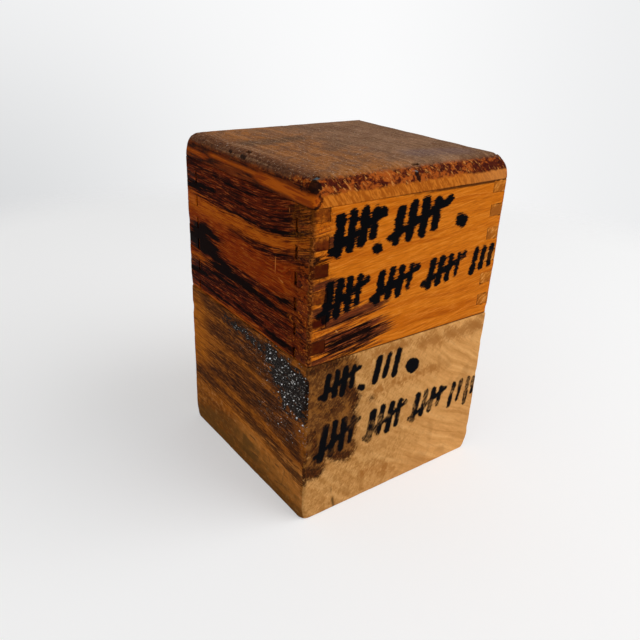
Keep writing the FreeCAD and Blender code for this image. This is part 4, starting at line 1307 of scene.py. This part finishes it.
class STORAGEBOX_OT_top_board(bpy.types.Operator):
    """Make the lid's top board, with the holes over its sunk nails"""
    bl_idname = "storage_box.top_board"
    bl_label = "Top board"

    def execute(self, context):
        sizes = millimetre_settings()
        piece = start_cuboid("worn_top_board", BOARD_LOW, BOARD_HIGH)
        heads = [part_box(node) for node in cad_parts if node.startswith("nail_")]
        for axis in (0, 1):
            cut_at(axis, sorted({round(corner[axis], 6) for head in heads for corner in head}))

        def over_a_nail(face):
            middle = face.calc_center_median()
            return face.normal.z > 0.5 and any(
                low.x < middle.x < high.x and low.y < middle.y < high.y for low, high in heads
            )

        pick(piece, "FACE", over_a_nail)
        drop = along(2, -sizes["nail_sink"] * MM)
        bpy.ops.mesh.extrude_region_move(TRANSFORM_OT_translate={"value": drop})
        work_into_cells(piece, sizes["cell"])

        def sink(x, y, z):
            """Lets the top dip below flat like the sides."""
            if z > TOP_MM - ON_FACE_MM:
                z -= sizes["waviness"] * ripple(x, y, z, 6, 2)
                z -= 0.05 * ripple(x, y, z, 1.1, 7)
            return x, y, z

        flare = 2.2
        front, rear = sizes["top_round"], sizes["top_round"] * 0.72
        levels = [
            (TOP_MM, 1, (rear, front * 0.9, front, rear), 0.1),
            (BOARD_FOOT_MM, -1, (0.25, 0.3, 0.25, 0.3)),
        ]
        wear(piece, sizes, lambda z: flare * ease(z, BOARD_FOOT_MM, TOP_MM - 1), levels, sink)
        fields = {"strip": BOARD_STRIP, "notch": BOARD_NOTCH, "fleck": BOARD_FLECK}
        finish_piece(piece, board_finish(), "lid", "lid_top_board", fields, reach=2.6)
        return {"FINISHED"}


def dress_nodes(names, material):
    """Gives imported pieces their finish."""
    for name in names:
        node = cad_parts[name]
        if not node.material_slots:
            node.data.materials.append(material)
        for slot in node.material_slots:
            slot.material = material


class STORAGEBOX_OT_hinges(bpy.types.Operator):
    """Finish the two butt hinges, their pins and screws"""
    bl_idname = "storage_box.hinges"
    bl_label = "Hinges and screws"

    def execute(self, context):
        hinge_nodes = [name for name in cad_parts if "_hinge_" in name]
        screws = [name for name in hinge_nodes if "_screw_" in name]
        dress_nodes([name for name in hinge_nodes if name not in screws], brass_finish("hinge brass"))
        dress_nodes(screws, brass_finish("screw brass"))
        return {"FINISHED"}


class STORAGEBOX_OT_nails(bpy.types.Operator):
    """Finish the nails that hold the top board"""
    bl_idname = "storage_box.nails"
    bl_label = "Nails"

    def execute(self, context):
        dress_nodes([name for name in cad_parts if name.startswith("nail_")], steel_finish())
        return {"FINISHED"}


def direction_to(azimuth, elevation):
    """The direction from the box to a lamp or the camera. Azimuth 0 is in front, and 90 to the right."""
    a, e = math.radians(azimuth), math.radians(elevation)
    return Vector((math.sin(a) * math.cos(e), -math.cos(a) * math.cos(e), math.sin(e)))


def seen_share(nodes):
    """1 for what the camera or a reflection sees, and 0 for what lights the box."""
    path = nodes.node("ShaderNodeLightPath")
    return path[0].or_more(path[3])


class STORAGEBOX_OT_stage(bpy.types.Operator):
    """Make the pale table, the light and the camera"""
    bl_idname = "storage_box.stage"
    bl_label = "Stage"

    def execute(self, context):
        self.make_floor()
        self.light_world()
        self.make_lamp("key", direction_to(40, 45), 0.9, 6.2)
        self.make_lamp("fill", direction_to(-70, 35), 1, 0.9)
        self.make_camera()
        return {"FINISHED"}

    def make_floor(self):
        """A pale table top that fades out into the backdrop. The camera sees its shadows softened."""
        bpy.ops.object.select_all(action="DESELECT")
        bpy.ops.mesh.primitive_circle_add(vertices=96, radius=0.6, fill_type="NGON", location=(0, 0, 0))
        floor = bpy.context.object
        floor.name = "table"
        finish = Finish("table white")
        fade = finish.vector("LENGTH", finish.point).rises(250, 340)
        surface = finish.node("ShaderNodeBsdfDiffuse", {}, {"Color": (0.92, 0.92, 0.92, 1)})[0]
        glow = finish.node("ShaderNodeEmission", {}, {"Color": (1, 1, 1, 1), "Strength": 1})[0]
        softened = seen_share(finish) * 0.4
        surface = finish.node("ShaderNodeMixShader", {}, {0: softened, 1: surface, 2: glow})[0]
        clear = finish.node("ShaderNodeBsdfTransparent")[0]
        mixed = finish.node("ShaderNodeMixShader", {}, {0: fade, 1: surface, 2: clear})[0]
        finish.node("ShaderNodeOutputMaterial", {}, {0: mixed})
        floor.data.materials.append(finish.material)

    def light_world(self):
        """Even light all round. The camera and reflections see a pale backdrop with painted shade, duller
        at its left and lower down, and a little at its right.
        """
        world = bpy.data.worlds.new("studio")
        bpy.context.scene.world = world
        world.use_nodes = True
        nodes = Nodes(world.node_tree)
        ambient = 0.4
        pale, dull = Color((0.965, 0.967, 0.972)), Color((0.62, 0.63, 0.64))
        direction = nodes.node("ShaderNodeTexCoord")[0]
        sideways = nodes.vector("DOT_PRODUCT", direction, (0.8, -0.6, 0))
        height = nodes.vector("DOT_PRODUCT", direction, (0, 0, 1))
        # Painted shade on the backdrop: duller to the left, most of all low down, and a little to the
        # right.
        dull_left = sideways.rises(0.1, -0.6) * (0.3 + height.rises(0.06, -0.3) * 0.6)
        dull_right = sideways.rises(0, 0.5) * 0.35
        backdrop = nodes.mix(pale, dull, dull_left.or_more(dull_right))
        seen = nodes.node("ShaderNodeBackground", {}, {0: backdrop})[0]
        light = nodes.node("ShaderNodeBackground", {}, {0: (1, 1, 1, 1), 1: ambient})[0]
        mixed = nodes.node("ShaderNodeMixShader", {}, {0: seen_share(nodes), 1: light, 2: seen})[0]
        nodes.node("ShaderNodeOutputWorld", {}, {0: mixed})

    def stand(self, name, data, place):
        """Puts a lamp or the camera at a place in the scene."""
        stand = bpy.data.objects.new(name, data)
        stand.location = place
        bpy.context.scene.collection.objects.link(stand)
        return stand

    def make_lamp(self, name, away, distance, power):
        """A square lamp that looks at the box."""
        lamp = bpy.data.lights.new(name, "AREA")
        lamp.energy = power
        lamp.size = 0.8
        self.stand(name, lamp, away * distance).rotation_euler = away.to_track_quat("Z", "Y").to_euler()

    def make_camera(self):
        """The photograph's viewpoint, fitted to the box's corners."""
        camera = bpy.data.cameras.new("camera")
        camera.lens = 37.65
        camera.sensor_width = 36
        camera.clip_start = 0.01
        back = direction_to(-36.903, 25.286)
        roll = Quaternion((0, 0, 1), math.radians(2.463))
        aim = Vector((-0.01246, -0.00984, 0.0458))
        distance = 0.1815
        stand = self.stand("camera", camera, aim + back * distance)
        stand.rotation_mode = "QUATERNION"
        stand.rotation_quaternion = back.to_track_quat("Z", "Y") @ roll
        bpy.context.scene.camera = stand


class STORAGEBOX_PT_panel(bpy.types.Panel):
    """The box's sizes and colours, and its steps in the order in which they are made"""
    bl_idname = "STORAGEBOX_PT_panel"
    bl_label = "Storage Box"
    bl_space_type = "VIEW_3D"
    bl_region_type = "UI"
    bl_category = "Storage Box"

    def draw(self, context):
        layout = self.layout
        for group in (context.scene.storage_box_shape, context.scene.storage_box_colours):
            box = layout.box()
            for name in type(group).__annotations__:
                box.prop(group, name)
        for operator in OPERATORS:
            layout.operator(operator.bl_idname)


OPERATORS = (
    STORAGEBOX_OT_block,
    STORAGEBOX_OT_end_walls,
    STORAGEBOX_OT_side_walls,
    STORAGEBOX_OT_top_board,
    STORAGEBOX_OT_nails,
    STORAGEBOX_OT_hinges,
    STORAGEBOX_OT_stage,
)
CLASSES = (StorageBoxShape, StorageBoxColours, *OPERATORS, STORAGEBOX_PT_panel)


def register():
    for cls in CLASSES:
        bpy.utils.register_class(cls)
    bpy.types.Scene.storage_box_shape = bpy.props.PointerProperty(type=StorageBoxShape)
    bpy.types.Scene.storage_box_colours = bpy.props.PointerProperty(type=StorageBoxColours)


def unregister():
    del bpy.types.Scene.storage_box_colours
    del bpy.types.Scene.storage_box_shape
    for cls in reversed(CLASSES):
        bpy.utils.unregister_class(cls)


def main():
    register()
    bpy.context.scene.view_settings.view_transform = "Standard"
    for operator in OPERATORS:
        section, name = operator.bl_idname.split(".")
        getattr(getattr(bpy.ops, section), name)()


if __name__ == "__main__":
    main()
